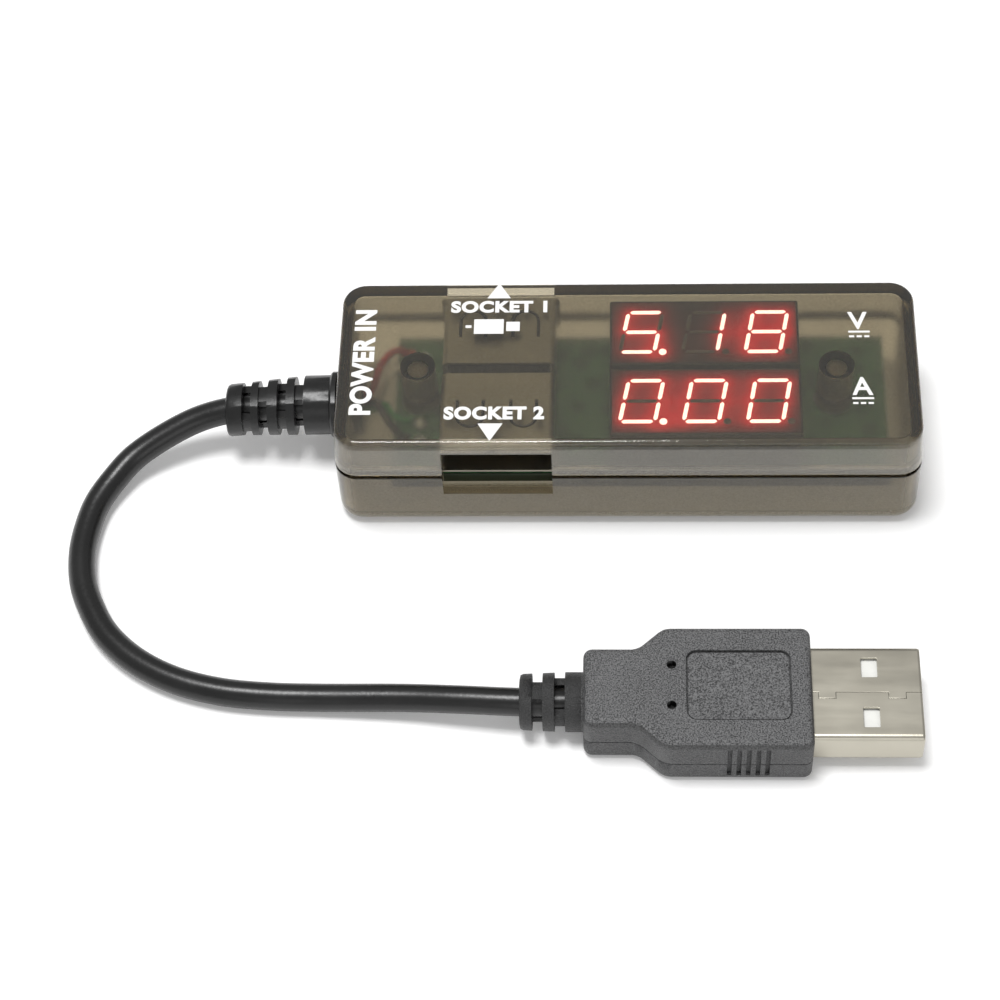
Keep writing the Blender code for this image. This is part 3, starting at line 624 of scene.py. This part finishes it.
black_moulding = Surface("black_moulding", Roughness=0.5)
pebble = black_moulding.noise(3000, 3)
black_moulding.feed("Base Color", black_moulding.blend(pebble, (0.012, 0.012, 0.012), (0.026, 0.026, 0.026)))
black_moulding.feed("Roughness", 0.42 + pebble * 0.2)
black_moulding.raise_by(pebble, 0.00001, 0.5)

gold_flash = Surface("gold_flash", Metallic=1.0, Roughness=0.22)
rub = gold_flash.noise(1200, 3, (1, 0.2, 1))
gold_flash.feed("Base Color", gold_flash.blend(rub, (0.78, 0.55, 0.22), (0.90, 0.68, 0.34)))
gold_flash.feed("Roughness", 0.16 + rub * 0.2)


def finger_slot(x, tip_y, outward):
    """The narrow U round one sprung finger."""
    outer, inner, reach = 0.0017, 0.0013, 0.0041
    centre_y, root_y = tip_y - outward * outer, tip_y - outward * reach
    arc = [pi * step / 20 for step in range(21)]
    far = [(x + outer * cos(a), centre_y + outward * outer * sin(a)) for a in arc]
    near = [(x + inner * cos(a), centre_y + outward * inner * sin(a)) for a in reversed(arc)]
    return [(x + outer, root_y), *far, (x - outer, root_y), (x - inner, root_y), *near, (x + inner, root_y)]


for label, outward in (("front", -1), ("rear", 1)):
    low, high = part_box(f"{label}_socket_shell")
    mouth_y = low.y if outward < 0 else high.y
    back_y = mouth_y - outward * socket_length
    bend_y = mouth_y - outward * 0.0009
    middle_z = (low.z + high.z) / 2
    half_w, half_h = (high.x - low.x) / 2 - flare, (high.z - low.z) / 2
    profile = [(back_y, 0, 0), (bend_y, 0, 0), (bend_y + outward * 0.0005, flare * 0.35, 0),
               (mouth_y, flare, 0), (mouth_y, flare, sheet_metal),
               (bend_y + outward * 0.0005, flare * 0.35, sheet_metal), (bend_y, 0, sheet_metal),
               (back_y, 0, sheet_metal)]
    rings = []
    for y, spread, inset in profile:
        outline = rounded(half_w + spread - inset, half_h - inset, 0.0007 - inset * 0.8, 6)
        rings.append([(port_x + x, y, middle_z + z) for x, z in outline])
    shell = skin(f"{label}_socket_sheet", rings, True)
    slots = [prism("finger_slot", finger_slot(port_x + offset, mouth_y - outward * 0.0018, outward),
                   high.z - 0.0005, high.z + 0.0005) for offset in (-0.0031, 0.0031)]
    carve(shell, slots)
    soften(shell)
    install(shell, nickel, "nickel_sheet", f"{label}_socket_shell")
    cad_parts[f"{label}_socket_insulator"].data.materials.clear()
    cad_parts[f"{label}_socket_insulator"].data.materials.append(black_moulding.material)
    for number in (1, 2, 3, 4):
        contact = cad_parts[f"{label}_socket_contact_{number}"]
        contact.data.materials.clear()
        contact.data.materials.append(gold_flash.material)


# The upper case half
# The lid, in the same smoke-brown plastic with a crisp top edge. Its posts take the
# screws, and a rebate inside its rim drops over the tray's lip.

draft = 0.0003
edge_radius = 0.0006
edge_steps = 8
pilot_top = 0.0128
lid_rings = [case_ring(seam_high, seam_chamfer, corner_radius - seam_chamfer),
             case_ring(seam_high + seam_chamfer, 0.0, corner_radius)]
for step in range(edge_steps + 1):
    tilt = pi / 2 * step / edge_steps
    inset = draft + edge_radius * (1 - cos(tilt))
    lid_z = case_top - edge_radius * (1 - sin(tilt))
    lid_rings.append(case_ring(lid_z, inset, corner_radius - inset + draft))
upper_case = skin("smoked_upper_case", lid_rings)
lid_room = skin("lid_room", [case_ring(z, wall + draft / 2, corner_radius - wall)
                             for z in (seam_low, ceiling)])
rebate_inset = wall - lip_thickness - slack
rebate_top = seam_low + lip_height + slack
rebate = skin("rebate", [case_ring(z, rebate_inset, corner_radius - rebate_inset)
                         for z in (seam_low, rebate_top)])
carve(upper_case, [lid_room, rebate, *wall_openings("upper")])
for x in post_xs:
    carve(upper_case, [upright("post", post_radius, seam_high, ceiling + 0.0004, x)], "UNION")
    carve(upper_case, [upright("pilot", shank_hole_radius, seam_low, pilot_top, x)])
soften(upper_case)
install(upper_case, smoked_plastic("smoked_lid"), "smoked_plastic", "upper_case")


# The print
# Legends pad-printed on the lid in white ink: an arrow and a name at each socket, the
# input at the cable's end, and the direct-current signs beside the two displays.

ink = Surface("white_ink", Roughness=0.5)
cover = ink.noise(5000, 3)
ink.feed("Base Color", ink.blend(cover, (0.78, 0.78, 0.76), (0.90, 0.90, 0.89)))
ink.feed("Roughness", 0.4 + cover * 0.25)
ink.raise_by(cover, 0.00001, 0.4)
print_low, print_high = case_top - 0.00001, case_top + 0.00002


def legend(name, words, centre, size, turn=0.0, weight=0.00006, spacing=1.0):
    """Flat lettering stretched to fill a box of the given width and height."""
    text = bpy.data.curves.new(name, "FONT")
    text.body = words
    text.size = 0.002
    text.space_character = spacing
    text.offset = weight
    text.extrude = 0.0001
    draft_text = bpy.data.objects.new(name + "_draft", text)
    bpy.context.collection.objects.link(draft_text)
    bpy.context.view_layer.update()
    graph = bpy.context.evaluated_depsgraph_get()
    mesh = bpy.data.meshes.new_from_object(draft_text.evaluated_get(graph))
    bpy.data.objects.remove(draft_text, do_unlink=True)
    xs, ys = [v.co.x for v in mesh.vertices], [v.co.y for v in mesh.vertices]
    scale_x, scale_y = size[0] / (max(xs) - min(xs)), size[1] / (max(ys) - min(ys))
    for vert in mesh.vertices:
        x = (vert.co.x - (max(xs) + min(xs)) / 2) * scale_x
        y = (vert.co.y - (max(ys) + min(ys)) / 2) * scale_y
        z = print_high if vert.co.z > 0 else print_low
        vert.co = (centre[0] + x * cos(turn) - y * sin(turn), centre[1] + x * sin(turn) + y * cos(turn), z)
    made = bpy.data.objects.new(name, mesh)
    bpy.context.collection.objects.link(made)
    install(made, ink, "white_insulator")


def printed_shapes(name, outlines):
    """Plain printed marks, such as arrows and lines."""
    install(flat_bars(name, outlines, print_low, print_high), ink, "white_insulator")


legend("supply_legend", "POWER IN", (-0.03085, 0.0001), (0.0156, 0.0026), radians(90), 0.00009, 1.08)
legend("rear_port_legend", "SOCKET 1", (-0.0151, 0.0083), (0.0114, 0.0018), 0.0, 0.00010, 1.10)
legend("front_port_legend", "SOCKET 2", (-0.0153, -0.0075), (0.0116, 0.0019), 0.0, 0.00010, 1.10)
legend("volts_sign", "V", (0.0270, 0.0059), (0.0023, 0.0026), 0.0, 0.00004)
legend("amps_sign", "A", (0.0271, -0.0038), (0.0024, 0.0026), 0.0, 0.00004)


def arrow(tip, base_y, half):
    """A filled triangle that points out of a socket."""
    return [(tip[0], tip[1]), (tip[0] - half, base_y), (tip[0] + half, base_y)]


def current_sign(x, y):
    """The direct-current sign: a line over three short dashes."""
    line = [(x - 0.00125, y), (x + 0.00125, y), (x + 0.00125, y + 0.00028), (x - 0.00125, y + 0.00028)]
    dashes = []
    for place in (-1, 0, 1):
        middle = x + place * 0.00088
        dashes.append([(middle - 0.0003, y - 0.0007), (middle + 0.0003, y - 0.0007),
                       (middle + 0.0003, y - 0.00042), (middle - 0.0003, y - 0.00042)])
    return [line, *dashes]


printed_shapes("port_arrows", [arrow((-0.01515, 0.0119), 0.0096, 0.0014),
                               arrow((-0.0157, -0.0115), -0.0090, 0.00145)])
printed_shapes("current_signs", current_sign(0.0271, 0.0041) + current_sign(0.0271, -0.0057))

plug_sign = []
for x0, y0, x1, y1 in ((-0.0180, 0.0042, -0.0145, 0.0064), (-0.0142, 0.0046, -0.0126, 0.0060),
                       (-0.0190, 0.0051, -0.0183, 0.0055)):
    plug_sign.append([(x0, y0), (x1, y0), (x1, y1), (x0, y1)])
printed_shapes("plug_pictogram", plug_sign)


# The cable relief
# A black rubber bush clipped in the left wall: a flange, a plain collar, then rings
# joined by staggered bridges so that it bends with the cable, and an end collar.

gland_length, gland_droop = 0.0137, 0.0011
ring_gap, ring_gap_radius, bridge_half = 0.0011, 0.0028, 0.0011
flange_radius, throat_radius, collar_radius, tip_radius = 0.0039, 0.0030, 0.00355, 0.00315
past_rings = 0.0050
cable_radius = 0.0016
wall_x = -case_half_x
gland_end = wall_x - gland_length

jacket_rubber = Surface("jacket_rubber", Roughness=0.38, Specular_IOR_Level=0.45)
skin_grain = jacket_rubber.noise(2200, 4)
dust = jacket_rubber.noise(260, 3)
jacket_rubber.feed("Base Color", jacket_rubber.blend(dust, (0.004, 0.004, 0.004), (0.012, 0.012, 0.012)))
jacket_rubber.feed("Roughness", 0.20 + skin_grain * 0.16 + dust * 0.06)
jacket_rubber.raise_by(skin_grain, 0.00003, 0.5)


def relief_axis(x):
    """Height of the relief's axis, which sags away from the wall."""
    return gland_z - gland_droop * (max(0.0, wall_x - x) / gland_length) ** 2


def turned_along_x(name, profile, centre_y, centre_z, sides=56):
    """A hollow turned solid with its axis along X; centre_z gives the axis height."""
    rings = [[(x, centre_y + a, centre_z(x) + b) for a, b in circle(radius, sides)] for radius, x in profile]
    return skin(name, rings, True)


def ladder_windows(x, turned, width, centre_y, centre_z, radius):
    """Two facing windows with a bridge on each side."""
    tools = []
    for side in (-1, 1):
        low = [x - width / 2, centre_y - radius, centre_z - radius]
        high = [x + width / 2, centre_y + radius, centre_z + radius]
        middle = (centre_y, centre_z)[turned]
        low[1 + turned], high[1 + turned] = sorted((middle + side * bridge_half, middle + side * radius))
        tools.append(brick("window", low, high))
    return tools


def ring_groove(x, width, depth_radius, centre_y, centre_z):
    """A cutter for the groove between two rings, down to a radius."""
    profile = [(depth_radius, x - width / 2), (past_rings, x - width / 2),
               (past_rings, x + width / 2), (depth_radius, x + width / 2)]
    return turned_along_x("ring_groove", profile, centre_y, centre_z, 64)


bore = cable_radius + slack
inside_x = wall_x + wall + slack
gland_profile = [(bore, inside_x + 0.0011), (flange_radius, inside_x + 0.0011), (flange_radius, inside_x),
                 (throat_radius, inside_x), (throat_radius, wall_x - slack), (0.0038, wall_x - slack),
                 (0.00395, wall_x - 0.0004), (0.00395, wall_x - 0.0009), (0.0038, wall_x - 0.0011),
                 (collar_radius, wall_x - 0.0012), (collar_radius, wall_x - 0.0042),
                 (tip_radius, wall_x - 0.0117), (tip_radius, gland_end + 0.0004),
                 (0.0030, gland_end + 0.0001), (0.0028, gland_end), (bore, gland_end),
                 (bore, gland_end + 0.0025), (bore, gland_end + 0.0050), (bore, gland_end + 0.0085),
                 (bore, wall_x)]
gland = turned_along_x("rubber_relief", gland_profile, 0.0, relief_axis)
for number, offset in enumerate((0.0048, 0.0069, 0.0092, 0.0112)):
    x = wall_x - offset
    carve(gland, [ring_groove(x, ring_gap, ring_gap_radius, 0.0, relief_axis)])
    carve(gland, ladder_windows(x, number % 2, ring_gap, 0.0, relief_axis(x), 0.0048))
soften(gland, width=0.00012)
install(gland, jacket_rubber, "cable_rubber", "cable_gland")


# The cable
# A round 3.2 mm lead in semi-gloss black PVC. It leaves the relief, drops to the
# table, turns round in one loose bend and runs back to rise into the plug.

plug_low, plug_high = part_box("plug_overmould")
plug_y, plug_z = (plug_low.y + plug_high.y) / 2, plug_high.z / 2
ground_z = cable_radius + 0.00002
cable_route = [(-0.0318, 0.0, gland_z), (-0.0400, 0.0, relief_axis(-0.0400)),
               (-0.0445, 0.0, relief_axis(-0.0445)), (gland_end, 0.0, relief_axis(gland_end)),
               (-0.0524, -0.0009, 0.0050), (-0.0589, -0.0043, 0.0030), (-0.0614, -0.0072, 0.0022),
               (-0.0632, -0.0105, 0.0018), (-0.0640, -0.0139, ground_z), (-0.06424, -0.0177, ground_z),
               (-0.0636, -0.0220, ground_z), (-0.0622, -0.0255, ground_z),
               (-0.0604, -0.0286, ground_z), (-0.0580, -0.0312, ground_z),
               (-0.0552, -0.0333, ground_z), (-0.0512, -0.0353, ground_z),
               (-0.0461, -0.0367, ground_z), (-0.0405, -0.0373, ground_z),
               (-0.0352, -0.0375, 0.0017), (-0.0251, -0.0380, 0.0025), (-0.0185, -0.0387, 0.0033),
               (-0.0120, plug_y, plug_z), (-0.0049, plug_y, plug_z)]


def smooth_line(route, steps=8):
    """Points on a centripetal curve that passes through every point of a route."""
    knots = [Vector(place) for place in route]
    knots = [knots[0] * 2 - knots[1], *knots, knots[-1] * 2 - knots[-2]]
    line = []
    for a, b, c, d in zip(knots, knots[1:], knots[2:], knots[3:]):
        t1 = (b - a).length ** 0.5
        t2 = t1 + (c - b).length ** 0.5
        t3 = t2 + (d - c).length ** 0.5
        for step in range(steps):
            t = t1 + (t2 - t1) * step / steps
            ab = a * ((t1 - t) / t1) + b * (t / t1)
            bc = b * ((t2 - t) / (t2 - t1)) + c * ((t - t1) / (t2 - t1))
            cd = c * ((t3 - t) / (t3 - t2)) + d * ((t - t2) / (t3 - t2))
            abc = ab * ((t2 - t) / t2) + bc * (t / t2)
            bcd = bc * ((t3 - t) / (t3 - t1)) + cd * ((t - t1) / (t3 - t1))
            line.append(abc * ((t2 - t) / (t2 - t1)) + bcd * ((t - t1) / (t2 - t1)))
    return [*line, knots[-2]]


def lead(name, line, radius, resolution):
    """A round tube along a line, as one open spline."""
    curve = bpy.data.curves.new(name, "CURVE")
    curve.dimensions = "3D"
    curve.bevel_depth = radius
    curve.bevel_resolution = resolution
    curve.use_fill_caps = True
    spline = curve.splines.new("POLY")
    spline.points.add(len(line) - 1)
    for point, place in zip(spline.points, line):
        point.co = (*place, 1.0)
    spline.use_smooth = True
    made = bpy.data.objects.new(name, curve)
    bpy.context.collection.objects.link(made)
    return made


cable_line = smooth_line(cable_route)
cable_length = sum((there - here).length for here, there in zip(cable_line, cable_line[1:]))
cable = lead("black_lead", cable_line, cable_radius, 8)
install(cable, jacket_rubber, "cable_rubber", "cable")


# The wires
# Four thin insulated cores, red, white, green and black, fanned from the cable's end
# to the board's left edge, each ending in a small bright bead of solder.

board_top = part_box("circuit_board")[1].z
wire_radius = 0.00045
landing = board_top + wire_radius + slack
solder = Surface("solder", Metallic=1.0, Roughness=0.25)
frost = solder.noise(2500, 3)
solder.feed("Base Color", solder.blend(frost, (0.55, 0.55, 0.54), (0.74, 0.74, 0.73)))
solder.feed("Roughness", 0.18 + frost * 0.25)
cores = (("red", (0.45, 0.012, 0.012), (0.60, 0.03, 0.025), 0.0062, 0.0007, 0.0020, 0.0),
         ("white", (0.66, 0.66, 0.63), (0.78, 0.78, 0.75), 0.0038, -0.0007, 0.0006, 0.0007),
         ("green", (0.02, 0.22, 0.05), (0.04, 0.32, 0.08), -0.0038, -0.0007, 0.0006, 0.0007),
         ("black", (0.010, 0.010, 0.010), (0.022, 0.022, 0.022), -0.0062, 0.0007, 0.0020, 0.0))
for colour, dark, light, pad_y, start_z, lift, lag in cores:
    start_y = 0.0007 if pad_y > 0 else -0.0007
    wire_route = [(-0.0314, start_y, gland_z + start_z), (-0.0306 + lag, start_y, gland_z + start_z),
                  (-0.0292 + lag, pad_y * 0.5, landing + lift), (-0.0276, pad_y * 0.9, landing + lift * 0.7),
                  (-0.0262, pad_y, landing), (-0.0254, pad_y, landing)]
    insulation = Surface(f"{colour}_insulation", Roughness=0.4)
    streak = insulation.noise(1500, 3)
    insulation.feed("Base Color", insulation.blend(streak, dark, light))
    insulation.feed("Roughness", 0.32 + streak * 0.2)
    core = lead(f"{colour}_core", smooth_line(wire_route, 6), wire_radius, 4)
    install(core, insulation, f"wire_{colour}", f"wire_{colour}")


def repeat_at(name, places, size, surface, shape_node):
    """One small shape of a given size at each of several places, made into one plain mesh."""
    tree = bpy.data.node_groups.new(f"{name}_layout", "GeometryNodeTree")
    tree.interface.new_socket("Places", in_out="INPUT", socket_type="NodeSocketGeometry")
    size_input = tree.interface.new_socket("Size", in_out="INPUT", socket_type="NodeSocketVector")
    tree.interface.new_socket("Pieces", in_out="OUTPUT", socket_type="NodeSocketGeometry")
    given, shape, spread, join, dress, made = [tree.nodes.new(kind) for kind in (
        "NodeGroupInput", shape_node, "GeometryNodeInstanceOnPoints", "GeometryNodeRealizeInstances",
        "GeometryNodeSetMaterial", "NodeGroupOutput")]
    dress.inputs["Material"].default_value = surface.material
    for out, into in ((given.outputs["Places"], spread.inputs["Points"]),
                      (given.outputs["Size"], spread.inputs["Scale"]),
                      (shape.outputs["Mesh"], spread.inputs["Instance"]),
                      (spread.outputs[0], join.inputs[0]), (join.outputs[0], dress.inputs["Geometry"]),
                      (dress.outputs[0], made.inputs["Pieces"])):
        tree.links.new(out, into)
    points = bmesh.new()
    for place in places:
        points.verts.new(place)
    laid = as_object(name, points)
    layout = laid.modifiers.new("layout", "NODES")
    layout.node_group = tree
    layout[size_input.identifier] = size
    settle(laid)
    return laid


pad_x, bead_size = -0.0244, (0.0008, 0.0007, 0.0006)
pads = [(pad_x, core[3], board_top) for core in cores]
beads = repeat_at("solder_beads", pads, bead_size, solder, "GeometryNodeMeshUVSphere")
for vert in beads.data.vertices:
    vert.co.z = max(board_top, vert.co.z)
beads.data.shade_smooth()
install(beads, solder, "zinc_steel")


# The plug grip
# The black overmould round the plug's rear: one shot with its ribbed relief, a sunk
# panel and two ejector holes on top and five grooves in each side. Its faces keep the
# fine matt texture of the spark-eroded tool, and a parting line runs round the middle.

body_x, taper_x, neck_x, front_x = 0.0040, 0.0011, -0.0049, plug_high.x
relief_x = plug_low.x
half_body, half_neck = (plug_high.y - plug_low.y) / 2, 0.0050
grip_edge = 0.0010
hole_x, hole_y, hole_radius, hole_depth = 0.0049, 0.0026, 0.00055, 0.0011
panel_x, panel_half_x, panel_half_y, panel_corner = 0.0123, 0.0058, 0.0045, 0.0012
panel_depth, panel_step, panel_step_width = 0.00025, 0.00045, 0.00022
groove_x, groove_pitch, groove_width, groove_depth = 0.0112, 0.00105, 0.0005, 0.0004
relief_gap, relief_gap_radius = 0.0012, 0.0027

spark_black = Surface("spark_black", Roughness=0.5, Specular_IOR_Level=0.5)
spark = spark_black.noise(6200, 3)
patch = spark_black.noise(180, 3)
# Partly painted highlight: the grain's bright glints sit in the base colour, over the eroded texture's own
# tone.
glints = (spark - 0.5) * 4.2 + 0.42 + patch * 0.3
on_body = spark_black.blend(glints, (0.018, 0.018, 0.019), (0.170, 0.171, 0.174))
below_top = plug_high.z - spark_black.axis("Z")
# Painted shade: the sides below the top, and a band round the rounded top edge, are darkened in the base
# colour.
side_shade = (below_top - grip_edge).over(0.0)
top_edge_shade = (0.00033 - (below_top - 0.00066).size()).over(0.0)
on_body = spark_black.blend(side_shade * 0.50 + top_edge_shade * 0.62, on_body, (0.020, 0.020, 0.020))
on_relief = (neck_x - 0.0002 - spark_black.axis("X")).over(0.0)
on_body = spark_black.blend(on_relief * 0.8, on_body, (0.012, 0.012, 0.012))
beside_hole = ((spark_black.axis("Y") - plug_y).size() - hole_y).size().at_least(
    (spark_black.axis("X") - hole_x).size())
# Painted shade: inside the two ejector holes the base colour is near black.
hole_shade = (0.0007 - beside_hole).over(0.0) * (below_top - 0.00015).over(0.0)
spark_black.feed("Base Color", spark_black.blend(hole_shade, on_body, (0.002, 0.002, 0.002)))
spark_black.feed("Roughness", 0.36 + spark * 0.22)
spark_black.raise_by(spark, 0.00016, 1.0)


def grip_outline(growth):
    """The grip's plan, grown outwards all round."""
    half = [(front_x + growth, half_body + growth), (body_x, half_body + growth),
            (taper_x, half_neck + growth), (neck_x - growth, half_neck + growth)]
    return [(x, plug_y + y) for x, y in half + [(x, -y) for x, y in reversed(half)]]


grip = prism("plug_grip", grip_outline(0.0), 0.0, plug_high.z)
soften(grip, angle=30, width=grip_edge, segments=6)
core = prism("core", grip_outline(-0.00014), -0.004, 0.012)
soften(core, angle=30, width=grip_edge, segments=6)
parting_line = prism("parting_line", grip_outline(0.001), plug_z - 0.00037, plug_z - 0.00023)
carve(parting_line, [core])
carve(grip, [parting_line])
relief_profile = ((0.0026, relief_x), (0.0030, relief_x + 0.0001), (0.00315, relief_x + 0.0004),
                  (0.00335, neck_x - 0.0017), (0.00335, neck_x + 0.0010))
relief_rings = []
for radius, x in relief_profile:
    relief_rings.append([(x, plug_y + a, plug_z + b) for a, b in circle(radius, 56)])
carve(grip, [skin("plug_relief", relief_rings)], "UNION")
bore_rings = [[(x, plug_y + a, plug_z + b) for a, b in circle(bore)]
              for x in (relief_x - past_face, neck_x + 0.0005)]
room_half_y, room_half_z = 0.0063, 0.00255
tools = [skin("bore", bore_rings),
         brick("room", (body_x, plug_y - room_half_y, plug_z - room_half_z),
               (front_x + past_face, plug_y + room_half_y, plug_z + room_half_z))]
for number, offset in enumerate((0.0020, 0.0045)):
    x = relief_x + offset
    carve(grip, [ring_groove(x, relief_gap, relief_gap_radius, plug_y, lambda x: plug_z)])
    tools += ladder_windows(x, number % 2, relief_gap, plug_y, plug_z, 0.0044)
for side in (-1, 1):
    tools.append(upright("ejector_hole", hole_radius, plug_high.z - hole_depth, plug_high.z + past_face,
                         hole_x, plug_y + side * hole_y, 24))
    groove_y = plug_y + side * (half_body + (past_face - groove_depth) / 2)
    groove_places = [(groove_x + number * groove_pitch, groove_y, plug_z + 0.0001) for number in range(5)]
    groove_size = (groove_width, past_face + groove_depth, plug_high.z - 0.0022)
    tools.append(repeat_at("grooves", groove_places, groove_size, spark_black, "GeometryNodeMeshCube"))
panel_rings = []
for inset, z in ((0.00005, plug_high.z - panel_depth), (0.0, plug_high.z), (0.0, plug_high.z + past_face)):
    outline = rounded(panel_half_x - inset, panel_half_y - inset, panel_corner - inset)
    panel_rings.append([(panel_x + x, plug_y + y, z) for x, y in outline])
tools.append(skin("panel", panel_rings))
step_rings = []
for inset, z in ((0.0, -panel_step), (0.0, past_face), (panel_step_width, past_face),
                 (panel_step_width, -panel_step)):
    outline = rounded(panel_half_x - inset, panel_half_y - inset, panel_corner - inset)
    step_rings.append([(panel_x + x, plug_y + y, plug_high.z + z) for x, y in outline])
tools.append(skin("panel_step", step_rings, True))
carve(grip, tools)
soften(grip)
install(grip, spark_black, "plug_plastic", "plug_overmould")


# The plug's metal end
# A rolled tube of nickel-plated sheet, its seam locked by two dovetails, with latch
# holes top and bottom. Inside are a white tongue, the wire block and four contacts.

shell_low, shell_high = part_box("plug_shell")
shell_half_w, shell_half_h = (shell_high.y - shell_low.y) / 2, (shell_high.z - shell_low.z) / 2
shell_rings = []
for x, inset in ((shell_low.x, 0), (shell_high.x - 0.0003, 0), (shell_high.x - 0.0001, 0.00004),
                 (shell_high.x, 0.00012), (shell_high.x, sheet_metal), (shell_low.x, sheet_metal)):
    ring = rounded(shell_half_w - inset, shell_half_h - inset, 0.0007 - inset * 0.8, 8)
    shell_rings.append([(x, plug_y + y, plug_z + z) for y, z in ring])
shell = skin("plug_tube", shell_rings, True)
latch_holes = []
for side in (-1, 1):
    y = plug_y + side * 0.0032
    hole = [(0.0268 + a, y + b) for a, b in rounded(0.0009, 0.00125, 0.00015, 3)]
    latch_holes.append(prism("latch_hole", hole, -0.001, 0.010))
step_y, seam_width = -0.0008, 0.00003
seam_line = [(shell_low.x - 0.001, 0), (0.0211, 0), (0.0211, step_y), (0.0230, step_y), (0.0230, 0),
             (0.0288, 0), (0.0288, step_y), (0.0307, step_y), (0.0307, 0), (shell_high.x + 0.001, 0)]
seam_turns = [0, 1, 1, -1, -1, 1, 1, -1, -1, 0]
half_gap = seam_width / 2
near = [(x - turn * half_gap, plug_y + y - half_gap) for (x, y), turn in zip(seam_line, seam_turns)]
far = [(x + turn * half_gap, plug_y + y + half_gap) for (x, y), turn in zip(seam_line, seam_turns)]
seam = prism("seam", near + far[::-1], shell_high.z - 0.0005, shell_high.z + 0.0005)
carve(shell, [*latch_holes, seam])
soften(shell, width=0.00009)
install(shell, nickel, "nickel_sheet", "plug_shell")

white_moulding = Surface("white_moulding", Roughness=0.45)
cloud = white_moulding.noise(900, 3)
white_moulding.feed("Base Color", white_moulding.blend(cloud, (0.76, 0.76, 0.72), (0.86, 0.86, 0.83)))
white_moulding.feed("Roughness", 0.36 + cloud * 0.2)
white_moulding.raise_by(cloud, 0.00001, 0.3)
for name in ("plug_insulator", "plug_inner_mould"):
    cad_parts[name].data.materials.clear()
    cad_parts[name].data.materials.append(white_moulding.material)
for number in (1, 2, 3, 4):
    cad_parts[f"plug_contact_{number}"].data.materials.clear()
    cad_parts[f"plug_contact_{number}"].data.materials.append(gold_flash.material)

plug_pieces = [grip, shell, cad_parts["plug_insulator"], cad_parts["plug_inner_mould"]]
plug_pieces += [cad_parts[f"plug_contact_{number}"] for number in (1, 2, 3, 4)]
relief_axis(gland_end)

low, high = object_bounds()
